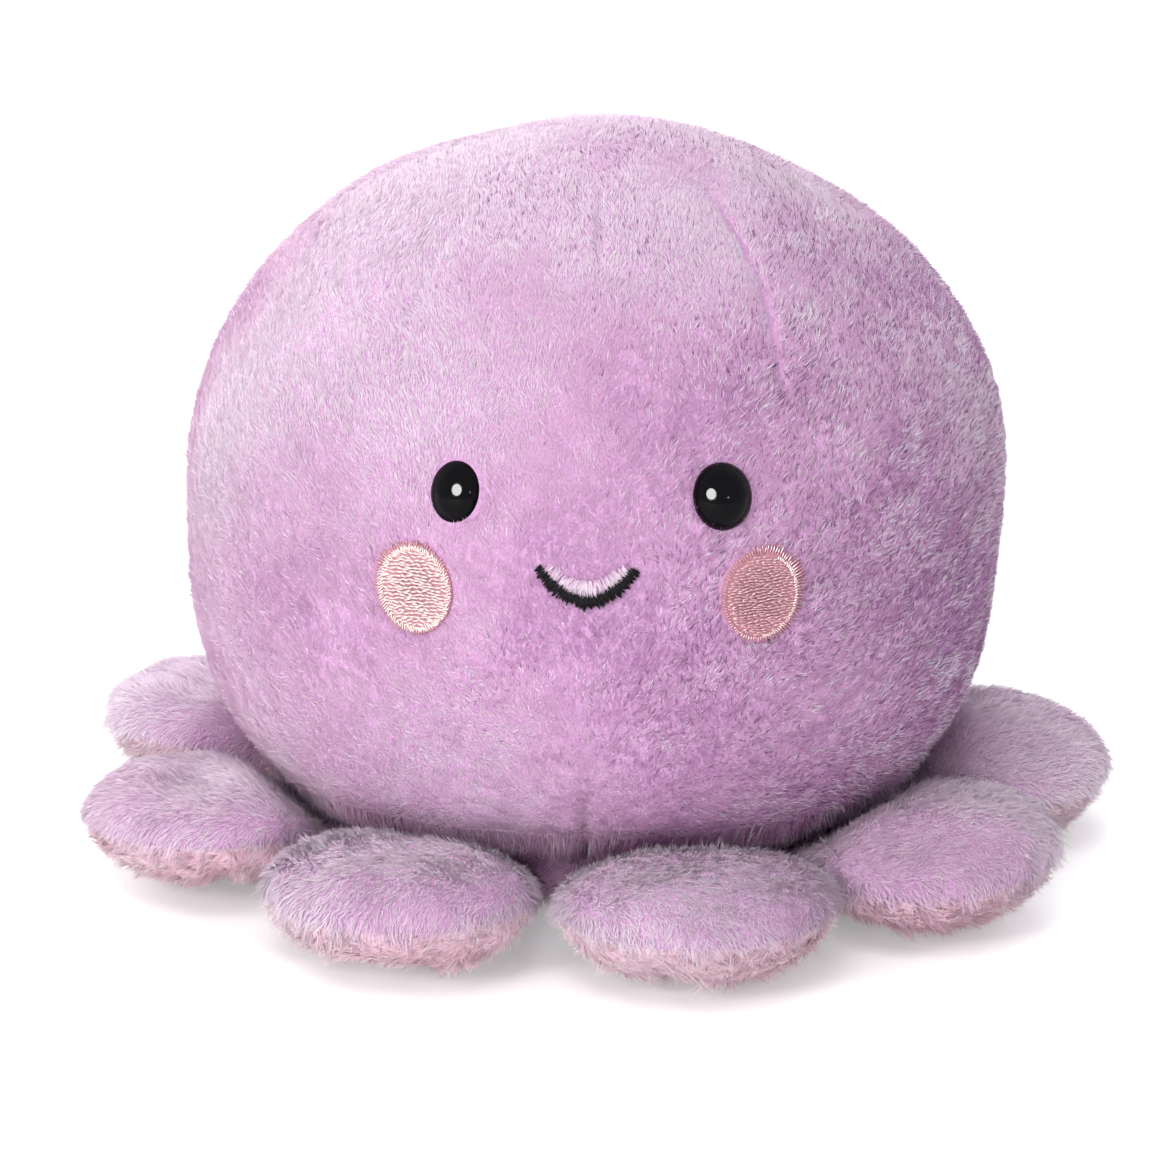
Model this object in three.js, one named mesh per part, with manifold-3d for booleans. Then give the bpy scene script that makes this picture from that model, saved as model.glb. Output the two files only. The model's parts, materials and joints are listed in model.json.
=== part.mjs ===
// A palm-sized plush octopus: a round stuffed head over a ring of eight short, padded legs.
// Millimetres, +Z up, the face looks along -Y, and the origin is the middle of the base.
// Outer faces are the envelope of the combed pile. Azimuth is measured from the face, towards +X.
import * as THREE from 'three';
import { mergeVertices } from 'three/addons/utils/BufferGeometryUtils.js';
import Module from 'manifold-3d';

const wasm = await Module();
wasm.setup();

const DEGREE = Math.PI / 180;
const QUARTER_TURN = 90 * DEGREE;

// Fits
const CLEARANCE = 0.3; // between pieces that touch on the real toy
const OVERRUN = 2; // how far a cutter runs past the face that it cuts

// Head cover
const HEAD_RADIUS = 55;
const WIDEST_HEIGHT = 53; // of the head's widest level above the base
const CROWN_RISE = 46; // from the widest level to the crown
const CROWN_FULLNESS = 1.88; // 2 is an ellipse, more is squarer
const UNDER_FULLNESS = 3.4;
const UNDER_CUT = 6.5; // how much further down the lower half would reach without its hem
const HEAD_PLUSH = 3; // thickness of the cover, pile included
const HEM_HEIGHT = 10.9; // where the cover turns in under the head
const HEM_TUCK = 4; // from the cover's edge to the base panel's, all round
const HEAD_ROWS = 12;
const PANEL_COLUMNS = 32; // of half a turn, so that every dart lies on a column

// Darts sewn into the cover, from the crown down or from the hem up
const DART_DEPTH = 1.1;
const DART_COLUMNS = 2; // half-width of a dart's valley
const SIDE_DART_AZIMUTH = 33.75 * DEGREE;
const SIDE_DART_END = 19 * DEGREE; // latitude
const CENTRE_DART_END = 41 * DEGREE;
const HEM_DART_END = -27 * DEGREE;
const HEM_DART_FULL = -40 * DEGREE; // where that dart is at its full depth
const SIDE_SEAM_DEPTH = 1.3;

// Base panel
const BASE_ROUNDING = 7.6; // width of the rounded rim outside the flat
const BASE_PLUSH = 3;
const BASE_SEGMENTS = 36;
const BASE_STEPS = 3;

// Bean pouch on the base panel
const POUCH_MARGIN = 6; // from the pouch's edge to that of the flat
const POUCH_HEIGHT = 13.5;
const POUCH_SEAM_HEIGHT = 5.5; // of the pouch's seam above its own underside
const POUCH_CLOTH = 0.8;
const POUCH_TOP_FULLNESS = 2.2;
const POUCH_FLOOR_FULLNESS = 3.4;
const POUCH_SEGMENTS = 20;
const POUCH_STEPS = 4;

// Legs
const LEG_AZIMUTHS = [15, 55, 95.5, 146, 198, 250, 294, 335].map((angle) => angle * DEGREE);
const LEG_TWISTS = [0, 3, 3, 2, -2, 3, 5, 2].map((angle) => angle * DEGREE);
const LEG_LENGTH = 34.2; // from the root's end to the tip
const LEG_SIDE_GAP = 2.3; // between the two legs that are closest, at their root and widest
const LEG_WIDEST_AT = 17; // from the root's end
const LEG_ROOT_DROP = 4.7; // of the root's axis, which the leg turns on, below the hem
const LEG_ROOT_FILL = 0.4; // half-depth of the filling that reaches into the root
const LEG_SWELL_END = 15; // from the root's end, where the leg is at its full depth
const LEG_UNDER_DEPTH = 8.6; // from the seam between top and underside to the lowest point
const LEG_TOP_RISE = 6; // from that seam to the top
const LEG_FLOOR_GAP = 0.6; // under the leg, with the toy set down on its base
const LEG_TIP_ROUND = 13; // length over which the depth closes at the tip
const LEG_PLUSH = 2.2;
const LEG_FULLNESS = 2.3;
const LEG_ROWS = 8;
const LEG_COLUMNS = 6; // of half a section
const LEG_STUFFING_SLACK = 0.6; // beyond the clearance, for the facets of the fabric round it
const LEG_STUFFING_ROWS = 7;
const LEG_STUFFING_COLUMNS = 5;

// Stuffing
const STUFFING_SEGMENTS = 24;
const STUFFING_ROWS = 8;

// Face
const EYE_AZIMUTH = 18.3 * DEGREE;
const EYE_RISE = 9.6; // above the head's widest level
const EYE_RADIUS = 4.3;
const EYE_WIDTH_SHARE = 0.92; // width over height
const EYE_RIM = 0.9;
const EYE_DOME_RISE = 3.2; // above the rim
const EYE_SINK = 2.2; // of the eye's flat back below the pile's envelope
const EYE_SEGMENTS = 16;
const EYE_STEPS = 4;
const STEM_RADIUS = 1.6;
const STEM_RIB = 0.25;
const STEM_RIB_PITCH = 1.1;
const STEM_RIB_COUNT = 3;
const WASHER_RADIUS = 5.8;
const WASHER_THICKNESS = 1.4;
const WASHER_SEGMENTS = 20;

const CHEEK_AZIMUTH = 23.4 * DEGREE;
const CHEEK_EYE_GAP = 2.3; // between an eye's lower edge and the cheek's upper one
const CHEEK_RADIUS = 6.1; // over the satin border
const CHEEK_HEIGHT_SHARE = 1.04; // height over width
const CHEEK_BORDER = 0.62; // radius of the satin border's section
const CHEEK_FILL_THICKNESS = 1;
const CHEEK_FILL_CROWN = 0.25;
const CHEEK_SINK = 1.9; // of the pocket's floor below the pile's envelope
const CHEEK_SEGMENTS = 24;
const CHEEK_BORDER_SIDES = 6;

const MOUTH_DROP = 13.6; // from the eyes' centres to the lowest point of the smile
const MOUTH_HALF_WIDTH = 5.8;
const MOUTH_RISE = 4.1; // from the lowest point to the corners
const MOUTH_STITCH = 0.85; // radius of the satin cord
const MOUTH_SINK = 0.55; // of its axis below the pile's envelope
const MOUTH_POINTS = 9;
const MOUTH_STEPS = 16;
const MOUTH_SIDES = 8;

// Values that follow from those above
const ROW_ANGLE = (2 * QUARTER_TURN) / HEAD_ROWS;
const FACET_SAG = HEAD_RADIUS * (1 - Math.cos(ROW_ANGLE / 2)); // of a flat facet inside its arc
const UNDER_DROP = WIDEST_HEIGHT - HEM_HEIGHT + UNDER_CUT; // semi-axis of the lower half
const BASE_TOP = HEM_HEIGHT - CLEARANCE;
const BASE_RADIUS = headRadiusAt(HEM_HEIGHT, 0) - HEM_TUCK;
const BASE_FLAT_RADIUS = BASE_RADIUS - BASE_ROUNDING;
const HEM_RADIUS = BASE_RADIUS - BASE_PLUSH;
const CLOSEST_LEGS = LEG_AZIMUTHS.reduce((least, azimuth, i) => {
  const next = LEG_AZIMUTHS[i + 1] ?? LEG_AZIMUTHS[0] + 4 * QUARTER_TURN;
  return Math.min(least, next - azimuth);
}, 4 * QUARTER_TURN);
const LEG_ROOT_HEIGHT = HEM_HEIGHT - LEG_ROOT_DROP;
const LEG_ROOT_RADIUS = LEG_PLUSH + CLEARANCE + LEG_STUFFING_SLACK + LEG_ROOT_FILL;
const LEG_ROOT_START = baseRadiusAt(LEG_ROOT_HEIGHT) + CLEARANCE;
const LEG_ROOT_HALF_WIDTH = halfWidthBetweenLegs(LEG_ROOT_START);
const LEG_HALF_WIDTH = halfWidthBetweenLegs(LEG_ROOT_START + LEG_WIDEST_AT);
const LEG_SEAM_HEIGHT = LEG_FLOOR_GAP + LEG_UNDER_DEPTH;
const EYE_HEIGHT = WIDEST_HEIGHT + EYE_RISE;
const CHEEK_HEIGHT = EYE_HEIGHT - EYE_RADIUS - CHEEK_EYE_GAP - CHEEK_RADIUS * CHEEK_HEIGHT_SHARE;
const MOUTH_HEIGHT = EYE_HEIGHT - MOUTH_DROP;
const POUCH_RADIUS = BASE_FLAT_RADIUS - POUCH_MARGIN;
const POUCH_FLOOR = BASE_PLUSH + CLEARANCE;
const POUCH_SEAM = POUCH_FLOOR + POUCH_SEAM_HEIGHT;

const plush = new THREE.MeshStandardMaterial({ color: 0xcf9fc6, roughness: 0.95 });
const pinkPlush = new THREE.MeshStandardMaterial({ color: 0xe0a9bf, roughness: 0.95 });
const fibre = new THREE.MeshStandardMaterial({ color: 0xf2f0ec, roughness: 1 });
const blackPlastic = new THREE.MeshStandardMaterial({ color: 0x0b0a0c, roughness: 0.12 });
const whitePlastic = new THREE.MeshStandardMaterial({ color: 0xe6e4df, roughness: 0.5 });
const pouchCloth = new THREE.MeshStandardMaterial({ color: 0xece8e0, roughness: 0.9 });
const pinkThread = new THREE.MeshStandardMaterial({ color: 0xe6a7ad, roughness: 0.6 });
const blackThread = new THREE.MeshStandardMaterial({ color: 0x141216, roughness: 0.6 });

const toy = new THREE.Group();

// Geometry helpers

// An indexed geometry without the triangles that collapse at a pole, and with its faces outwards.
function tidied(geometry) {
  const bare = geometry.index ? geometry.toNonIndexed() : geometry.clone();
  const merged = mergeVertices(
    new THREE.BufferGeometry().setAttribute('position', bare.getAttribute('position')),
  );
  const at = merged.getAttribute('position');
  const corners = [new THREE.Vector3(), new THREE.Vector3(), new THREE.Vector3()];
  const kept = [];
  let volume = 0;
  for (let i = 0; i < merged.index.count; i += 3) {
    const face = [0, 1, 2].map((k) => merged.index.getX(i + k));
    if (new Set(face).size < 3) continue;
    kept.push(...face);
    face.forEach((vertex, k) => corners[k].fromBufferAttribute(at, vertex));
    volume += corners[0].dot(corners[1].cross(corners[2]));
  }
  if (volume < 0) kept.reverse();
  return merged.setIndex(kept);
}

function solidOf(geometry) {
  const clean = tidied(geometry);
  return new wasm.Manifold(
    new wasm.Mesh({
      numProp: 3,
      vertProperties: new Float32Array(clean.getAttribute('position').array),
      triVerts: new Uint32Array(clean.index.array),
    }),
  );
}

function geometryOf(solid) {
  const { vertProperties, triVerts } = solid.getMesh();
  return new THREE.BufferGeometry()
    .setAttribute('position', new THREE.BufferAttribute(vertProperties, 3))
    .setIndex(new THREE.BufferAttribute(triVerts, 1));
}

function addPiece(group, name, geometry, material) {
  const shaded = tidied(geometry);
  shaded.computeVertexNormals();
  const mesh = new THREE.Mesh(shaded, material);
  mesh.name = name;
  group.add(mesh);
}

// A closed piece of fabric between two surfaces over the same grid. Each surface maps
// (row, column), both from 0 to 1, to a point.
function fabricPatch(outer, inner, rows, columns) {
  const points = [];
  const index = [];
  const put = (surface) => {
    const grid = [];
    for (let i = 0; i <= rows; i++)
      for (let j = 0; j <= columns; j++)
        grid.push(points.push(surface(i / rows, j / columns)) - 1);
    return (i, j) => grid[i * (columns + 1) + j];
  };
  const [top, back] = [put(outer), put(inner)];
  const quad = (a, b, c, d) => index.push(a, b, c, a, c, d);
  for (let i = 0; i < rows; i++)
    for (let j = 0; j < columns; j++) {
      quad(top(i, j), top(i + 1, j), top(i + 1, j + 1), top(i, j + 1));
      quad(back(i, j), back(i, j + 1), back(i + 1, j + 1), back(i + 1, j));
    }
  for (let i = 0; i < rows; i++) {
    quad(top(i, 0), back(i, 0), back(i + 1, 0), top(i + 1, 0));
    quad(top(i, columns), top(i + 1, columns), back(i + 1, columns), back(i, columns));
  }
  for (let j = 0; j < columns; j++) {
    quad(top(0, j), top(0, j + 1), back(0, j + 1), back(0, j));
    quad(top(rows, j), back(rows, j), back(rows, j + 1), top(rows, j + 1));
  }
  return new THREE.BufferGeometry().setFromPoints(points).setIndex(index);
}

// A profile of [radius, height] pairs revolved about Z. It starts and ends on the axis, or closes.
function revolved(profile, segments) {
  const points = profile.map(([radius, height]) => new THREE.Vector2(radius, height));
  return new THREE.LatheGeometry(points, segments).rotateX(QUARTER_TURN);
}

const steps = (count) => Array.from({ length: count + 1 }, (_, i) => i / count);
const smooth = (share) => THREE.MathUtils.smoothstep(share, 0, 1);
const quarterRound = (share) => Math.sqrt(Math.max(0, 1 - Math.min(1, Math.max(0, share)) ** 2));

// [radius, height] where a superellipse of the given half-sizes meets a ray at this angle above
// its widest level. A fullness of 2 is an ellipse.
function superellipse(angle, halfWidth, halfHeight, fullness) {
  const [across, rise] = [Math.max(0, Math.cos(angle)), Math.sin(angle)];
  const reach =
    ((across / halfWidth) ** fullness + (Math.abs(rise) / halfHeight) ** fullness) ** (-1 / fullness);
  return [reach * across, reach * rise];
}

// Head surface

// [radius, height] of the head's outline at a latitude, this far inside the pile's envelope.
function headOutline(latitude, inset) {
  const above = latitude >= 0;
  const [radius, rise] = superellipse(
    latitude,
    HEAD_RADIUS - inset,
    (above ? CROWN_RISE : UNDER_DROP) - inset,
    above ? CROWN_FULLNESS : UNDER_FULLNESS,
  );
  return [radius, WIDEST_HEIGHT + rise];
}

function headRadiusAt(height, inset) {
  const above = height >= WIDEST_HEIGHT;
  const fullness = above ? CROWN_FULLNESS : UNDER_FULLNESS;
  const rise = Math.abs(height - WIDEST_HEIGHT) / ((above ? CROWN_RISE : UNDER_DROP) - inset);
  return (HEAD_RADIUS - inset) * (1 - rise ** fullness) ** (1 / fullness);
}

// The latitude at which the outline reaches a height.
function latitudeAt(height, inset) {
  return Math.atan2(height - WIDEST_HEIGHT, headRadiusAt(height, inset));
}

// How far the darts and side seams draw the cover in.
function seamDepth(latitude, azimuth) {
  const column = (2 * QUARTER_TURN) / PANEL_COLUMNS;
  const valley = (at) => Math.max(0, 1 - Math.abs(Math.abs(azimuth) - at) / (DART_COLUMNS * column));
  const fade = (from, to) => smooth((latitude - from) / (to - from));
  const frontOrBack = Math.abs(azimuth) > QUARTER_TURN ? 2 * QUARTER_TURN : 0;
  const crownDarts =
    valley(Math.abs(frontOrBack - SIDE_DART_AZIMUTH)) * fade(SIDE_DART_END, CENTRE_DART_END) +
    valley(frontOrBack) * fade(CENTRE_DART_END, (CENTRE_DART_END + QUARTER_TURN) / 2);
  const hemDart = valley(frontOrBack) * fade(HEM_DART_END, HEM_DART_FULL);
  const nearCrown = smooth((QUARTER_TURN - latitude) / (QUARTER_TURN - CENTRE_DART_END));
  return (DART_DEPTH * (crownDarts + hemDart) + SIDE_SEAM_DEPTH * valley(QUARTER_TURN)) * nearCrown;
}

function headPoint(latitude, azimuth, inset) {
  const [radius, height] = headOutline(latitude, inset);
  return new THREE.Vector3(radius * Math.sin(azimuth), -radius * Math.cos(azimuth), height);
}

// A matrix that stands a piece on the head: its origin is this far below the envelope, its Z
// points out along the surface's normal, and its X runs level.
function onHead(azimuth, height, depth) {
  const latitude = latitudeAt(height, 0);
  const nudge = 0.5 * DEGREE;
  const level = new THREE.Vector3(Math.cos(azimuth), Math.sin(azimuth), 0);
  const upward = headPoint(latitude + nudge, azimuth, 0)
    .sub(headPoint(latitude - nudge, azimuth, 0))
    .normalize();
  const normal = new THREE.Vector3().crossVectors(level, upward);
  const origin = headPoint(latitude, azimuth, 0).addScaledVector(normal, -depth);
  return new THREE.Matrix4().makeBasis(level, upward, normal).setPosition(origin);
}

const eyeFrame = (side, depth) => onHead(side * EYE_AZIMUTH, EYE_HEIGHT, depth);
const cheekFrame = (side, depth) => onHead(side * CHEEK_AZIMUTH, CHEEK_HEIGHT, depth);

// A post along Z between two heights.
function post(radius, from, to, segments) {
  return new THREE.CylinderGeometry(radius, radius, to - from, segments)
    .rotateX(QUARTER_TURN)
    .translate(0, 0, (from + to) / 2);
}

// Head pieces

// One half of the head cover: it runs from the crown to the hem and turns in over the base panel.
function headPanel(facing) {
  const hemLatitude = (inset) => latitudeAt(HEM_HEIGHT + inset, inset);
  const surface = (inset) => (row, column) => {
    const rowsDown = Math.min(1, (row * (HEAD_ROWS + 1)) / HEAD_ROWS);
    const latitude = QUARTER_TURN + (hemLatitude(inset) - QUARTER_TURN) * rowsDown;
    const fromSeam = (2 * column - 1) * QUARTER_TURN;
    const azimuth = fromSeam + (facing < 0 ? 0 : 2 * QUARTER_TURN);
    const wrapped = Math.atan2(Math.sin(azimuth), Math.cos(azimuth));
    const point = headPoint(latitude, azimuth, inset + seamDepth(latitude, wrapped));
    point.y += (facing * CLEARANCE) / 2;
    if (row < 1) return point;
    const turned = new THREE.Vector2(point.x, point.y).setLength(HEM_RADIUS);
    return new THREE.Vector3(turned.x, turned.y, HEM_HEIGHT + inset);
  };
  return fabricPatch(surface(0), surface(HEAD_PLUSH), HEAD_ROWS + 1, PANEL_COLUMNS);
}

function faceCutters() {
  const cutters = [-1, 1].flatMap((side) => [
    post(EYE_RADIUS + CLEARANCE, -CLEARANCE, EYE_SINK + OVERRUN, EYE_SEGMENTS)
      .scale(EYE_WIDTH_SHARE, 1, 1)
      .applyMatrix4(eyeFrame(side, EYE_SINK)),
    post(
      STEM_RADIUS + STEM_RIB + CLEARANCE,
      -HEAD_PLUSH - OVERRUN,
      EYE_SINK,
      EYE_SEGMENTS,
    ).applyMatrix4(eyeFrame(side, EYE_SINK)),
    post(CHEEK_RADIUS + CLEARANCE, 0, CHEEK_SINK + OVERRUN, CHEEK_SEGMENTS)
      .scale(1, CHEEK_HEIGHT_SHARE, 1)
      .applyMatrix4(cheekFrame(side, CHEEK_SINK)),
  ]);
  return [...cutters, smile(MOUTH_STITCH + CLEARANCE, 1 + CLEARANCE / MOUTH_HALF_WIDTH)];
}

function addHeadCover() {
  const front = faceCutters().reduce(
    (solid, cutter) => solid.subtract(solidOf(cutter)),
    solidOf(headPanel(-1)),
  );
  addPiece(toy, 'head_front_panel', geometryOf(front), plush);
  addPiece(toy, 'head_back_panel', headPanel(1), plush);
}

// [radius, height] along the base panel's outline, from its flat to its hem.
function baseOutline(share, inset) {
  const angle = share * QUARTER_TURN;
  return [
    BASE_FLAT_RADIUS + (BASE_RADIUS - BASE_FLAT_RADIUS - inset) * Math.sin(angle),
    inset + (BASE_TOP - inset) * (1 - Math.cos(angle)),
  ];
}

// The base panel's radius at a height below its hem.
function baseRadiusAt(height) {
  const angle = Math.acos(1 - height / BASE_TOP);
  return BASE_FLAT_RADIUS + (BASE_RADIUS - BASE_FLAT_RADIUS) * Math.sin(angle);
}

function addBasePanel() {
  const outside = steps(BASE_STEPS).map((share) => baseOutline(share, 0));
  const inside = steps(BASE_STEPS).map((share) => baseOutline(share, BASE_PLUSH));
  const profile = [[0, 0], ...outside, ...inside.reverse(), [0, BASE_PLUSH]];
  addPiece(toy, 'base_panel', revolved(profile, BASE_SEGMENTS), plush);
}

// [radius, height] along half of the pouch's outline, from its seam (0) to its middle (1).
function pouchOutline(share, above, inset) {
  const rise = above ? POUCH_HEIGHT - POUCH_SEAM_HEIGHT : POUCH_SEAM_HEIGHT;
  const [radius, height] = superellipse(
    share * QUARTER_TURN * (above ? 1 : -1),
    POUCH_RADIUS - inset,
    rise - inset,
    above ? POUCH_TOP_FULLNESS : POUCH_FLOOR_FULLNESS,
  );
  return [share < 1 ? radius : 0, POUCH_SEAM + height];
}

function addBeanPouch() {
  const half = (above, inset) => steps(POUCH_STEPS).map((share) => pouchOutline(share, above, inset));
  const sheet = (above) => {
    const lift = above ? CLEARANCE / 2 : -CLEARANCE / 2;
    const profile = [...half(above, POUCH_CLOTH).reverse(), ...half(above, 0)];
    return revolved(profile, POUCH_SEGMENTS).translate(0, 0, lift);
  };
  const filled = [
    ...half(false, POUCH_CLOTH + CLEARANCE).reverse(),
    ...half(true, POUCH_CLOTH + CLEARANCE).slice(1),
  ];
  addPiece(toy, 'bean_pouch_top', sheet(true), pouchCloth);
  addPiece(toy, 'bean_pouch_bottom', sheet(false).translate(0, 0, CLEARANCE / 2), pouchCloth);
  addPiece(toy, 'bean_fill', revolved(filled, POUCH_SEGMENTS), whitePlastic);
}

// The head's fibre filling, hollowed under for the bean pouch and pocketed behind each eye.
function addHeadStuffing() {
  const inset = HEAD_PLUSH + CLEARANCE + FACET_SAG + Math.max(DART_DEPTH, SIDE_SEAM_DEPTH);
  const lowest = latitudeAt(HEM_HEIGHT + HEAD_PLUSH + CLEARANCE, inset);
  const head = steps(STUFFING_ROWS).map((share) =>
    headOutline(QUARTER_TURN + (lowest - QUARTER_TURN) * share, inset),
  );
  head[0][0] = 0;
  const neck = [HEM_RADIUS - CLEARANCE, HEM_HEIGHT + HEAD_PLUSH + CLEARANCE];
  const foot = steps(BASE_STEPS)
    .map((share) => baseOutline(share, BASE_PLUSH + CLEARANCE))
    .reverse();
  const rise = POUCH_HEIGHT - POUCH_SEAM_HEIGHT + CLEARANCE;
  const hollow = steps(POUCH_STEPS).map((share) => {
    const [radius, height] = superellipse(
      share * QUARTER_TURN,
      POUCH_RADIUS + CLEARANCE,
      rise,
      POUCH_TOP_FULLNESS,
    );
    return [share < 1 ? radius : 0, POUCH_SEAM + CLEARANCE + height];
  });
  const profile = [...head, neck, ...foot, [POUCH_RADIUS + CLEARANCE, POUCH_FLOOR], ...hollow];
  const pocketDepth = washerDepth() + WASHER_THICKNESS + stemTail() + CLEARANCE;
  const whole = [-1, 1].reduce((solid, side) => {
    const pocket = post(WASHER_RADIUS + CLEARANCE, 0, pocketDepth, WASHER_SEGMENTS);
    return solid.subtract(solidOf(pocket.applyMatrix4(eyeFrame(side, pocketDepth))));
  }, solidOf(revolved(profile, STUFFING_SEGMENTS)));
  addPiece(toy, 'head_stuffing', geometryOf(whole), fibre);
}

// Eyes

// The washer is flat and the cover behind it is hollow, so the washer's rim meets the cover first.
function washerDepth() {
  const hollow = HEAD_RADIUS - HEAD_PLUSH;
  const rimSag = hollow - Math.sqrt(hollow ** 2 - WASHER_RADIUS ** 2);
  return HEAD_PLUSH + rimSag + FACET_SAG + CLEARANCE;
}

const stemTail = () => STEM_RIB_PITCH * STEM_RIB_COUNT;

function eye() {
  const dome = steps(EYE_STEPS).map((share) => {
    const [radius, rise] = superellipse(share * QUARTER_TURN, EYE_RADIUS, EYE_DOME_RISE, 2);
    return [share < 1 ? radius : 0, EYE_RIM + rise];
  });
  const head = solidOf(revolved([[0, 0], [EYE_RADIUS - EYE_RIM / 2, 0], ...dome], EYE_SEGMENTS)).scale([
    EYE_WIDTH_SHARE,
    1,
    1,
  ]);
  const tail = washerDepth() + WASHER_THICKNESS - EYE_SINK;
  const ribs = Array.from({ length: STEM_RIB_COUNT }, (_, i) => {
    const height = -tail - i * STEM_RIB_PITCH;
    return [
      [STEM_RADIUS, height],
      [STEM_RADIUS + STEM_RIB, height - STEM_RIB_PITCH / 4],
      [STEM_RADIUS, height - STEM_RIB_PITCH / 2],
    ];
  }).flat();
  const end = -tail - stemTail();
  const stem = [[0, EYE_RIM], [STEM_RADIUS, EYE_RIM], ...ribs, [STEM_RADIUS / 2, end], [0, end]];
  return geometryOf(head.add(solidOf(revolved(stem, EYE_SEGMENTS))));
}

function washer() {
  const bore = STEM_RADIUS + STEM_RIB + CLEARANCE;
  const outline = [
    [bore, 0],
    [WASHER_RADIUS, 0],
    [WASHER_RADIUS, -WASHER_THICKNESS / 2],
    [WASHER_RADIUS - WASHER_THICKNESS / 2, -WASHER_THICKNESS],
    [bore, -WASHER_THICKNESS],
    [bore, 0],
  ];
  return revolved(outline, WASHER_SEGMENTS);
}

function addEyes() {
  for (const [name, side] of [['left', 1], ['right', -1]]) {
    addPiece(toy, `eye_${name}`, eye().applyMatrix4(eyeFrame(side, EYE_SINK)), blackPlastic);
    const seated = washer().applyMatrix4(eyeFrame(side, washerDepth()));
    addPiece(toy, `eye_washer_${name}`, seated, whitePlastic);
  }
}

// Embroidery

function addCheeks() {
  const ring = CHEEK_RADIUS - CHEEK_BORDER;
  const fillRadius = ring - CHEEK_BORDER - CLEARANCE;
  const fill = [
    [0, 0],
    [fillRadius, 0],
    [fillRadius, CHEEK_FILL_THICKNESS],
    [fillRadius / 2, CHEEK_FILL_THICKNESS + CHEEK_FILL_CROWN],
    [0, CHEEK_FILL_THICKNESS + CHEEK_FILL_CROWN],
  ];
  for (const [name, side] of [['left', 1], ['right', -1]]) {
    const seat = cheekFrame(side, CHEEK_SINK - CLEARANCE);
    const disc = revolved(fill, CHEEK_SEGMENTS).scale(1, CHEEK_HEIGHT_SHARE, 1);
    addPiece(toy, `cheek_fill_${name}`, disc.applyMatrix4(seat), pinkThread);
    const border = new THREE.TorusGeometry(ring, CHEEK_BORDER, CHEEK_BORDER_SIDES, CHEEK_SEGMENTS)
      .scale(1, CHEEK_HEIGHT_SHARE, 1)
      .translate(0, 0, CHEEK_BORDER);
    addPiece(toy, `cheek_border_${name}`, border.applyMatrix4(seat), pinkThread);
  }
}

// The smile's round cord, swept along a curve that lies just below the envelope.
function smile(radius, stretch) {
  const points = steps(MOUTH_POINTS - 1).map((share) => {
    const across = (2 * share - 1) * stretch;
    const height = MOUTH_HEIGHT + MOUTH_STITCH + MOUTH_RISE * across ** 2;
    const azimuth = Math.asin((across * MOUTH_HALF_WIDTH) / HEAD_RADIUS);
    return new THREE.Vector3().setFromMatrixPosition(onHead(azimuth, height, MOUTH_SINK));
  });
  const section = new THREE.Shape().absarc(0, 0, radius, 0, 4 * QUARTER_TURN, false);
  return new THREE.ExtrudeGeometry(section, {
    steps: MOUTH_STEPS,
    curveSegments: MOUTH_SIDES,
    extrudePath: new THREE.CatmullRomCurve3(points),
  });
}

// Legs

// Half the width that a leg may have this far from the head's axis.
function halfWidthBetweenLegs(radius) {
  return radius * Math.tan(CLOSEST_LEGS / 2) - LEG_SIDE_GAP / 2;
}

// A point of a leg's surface. Along runs from the root (0) to the tip (1), and turn goes round the
// section from its +X edge over the top. The leg lies along -Y.
function legPoint(along, turn, inset, twist) {
  const tipAt = LEG_LENGTH - inset;
  const s = inset + ((tipAt - inset) * (1 - Math.cos(along * 2 * QUARTER_TURN))) / 2;
  const swell = smooth((s - LEG_ROOT_RADIUS) / (LEG_SWELL_END - LEG_ROOT_RADIUS));
  const widening = smooth((s - LEG_ROOT_RADIUS) / (LEG_WIDEST_AT - LEG_ROOT_RADIUS));
  const root = quarterRound((LEG_ROOT_RADIUS - s) / (LEG_ROOT_RADIUS - inset));
  const tip = quarterRound((s - LEG_WIDEST_AT) / (tipAt - LEG_WIDEST_AT));
  const deepUntil = LEG_LENGTH - LEG_TIP_ROUND;
  const tipDepth = quarterRound((s - deepUntil) / (tipAt - deepUntil));
  const over = Math.sin(turn) >= 0;
  const full = over ? LEG_TOP_RISE : LEG_UNDER_DEPTH;
  const depth = THREE.MathUtils.lerp(LEG_ROOT_RADIUS, full, swell) - inset;
  const rootHalfWidth = LEG_ROOT_HALF_WIDTH - LEG_ROOT_RADIUS * (1 - root);
  const width = THREE.MathUtils.lerp(rootHalfWidth, LEG_HALF_WIDTH, widening) - inset;
  const power = 2 / LEG_FULLNESS;
  const across = Math.sign(Math.cos(turn)) * Math.abs(Math.cos(turn)) ** power * width * tip;
  const rise = Math.sign(Math.sin(turn)) * Math.abs(Math.sin(turn)) ** power * depth * root * tipDepth;
  const turned = new THREE.Vector2(across, rise).rotateAround(new THREE.Vector2(), twist * swell);
  const seam = THREE.MathUtils.lerp(LEG_ROOT_HEIGHT, LEG_SEAM_HEIGHT, swell);
  const hemSag = LEG_ROOT_START - Math.sqrt(LEG_ROOT_START ** 2 - across ** 2);
  return new THREE.Vector3(turned.x, hemSag * (1 - swell) - LEG_ROOT_START - s, seam + turned.y);
}

// The top or the underside of a leg, parted from the other at the seam.
function legFabric(side, twist) {
  const surface = (inset) => (row, column) => {
    const point = legPoint(row, side * column * 2 * QUARTER_TURN, inset, twist);
    point.z += (side * CLEARANCE) / 2;
    return point;
  };
  return fabricPatch(surface(0), surface(LEG_PLUSH), LEG_ROWS, LEG_COLUMNS);
}

function legStuffing(twist) {
  const inset = LEG_PLUSH + CLEARANCE + LEG_STUFFING_SLACK;
  const half = (side) => (row, column) =>
    legPoint(row, side * column * 2 * QUARTER_TURN, inset, twist);
  return fabricPatch(half(1), half(-1), LEG_STUFFING_ROWS, LEG_STUFFING_COLUMNS);
}

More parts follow.
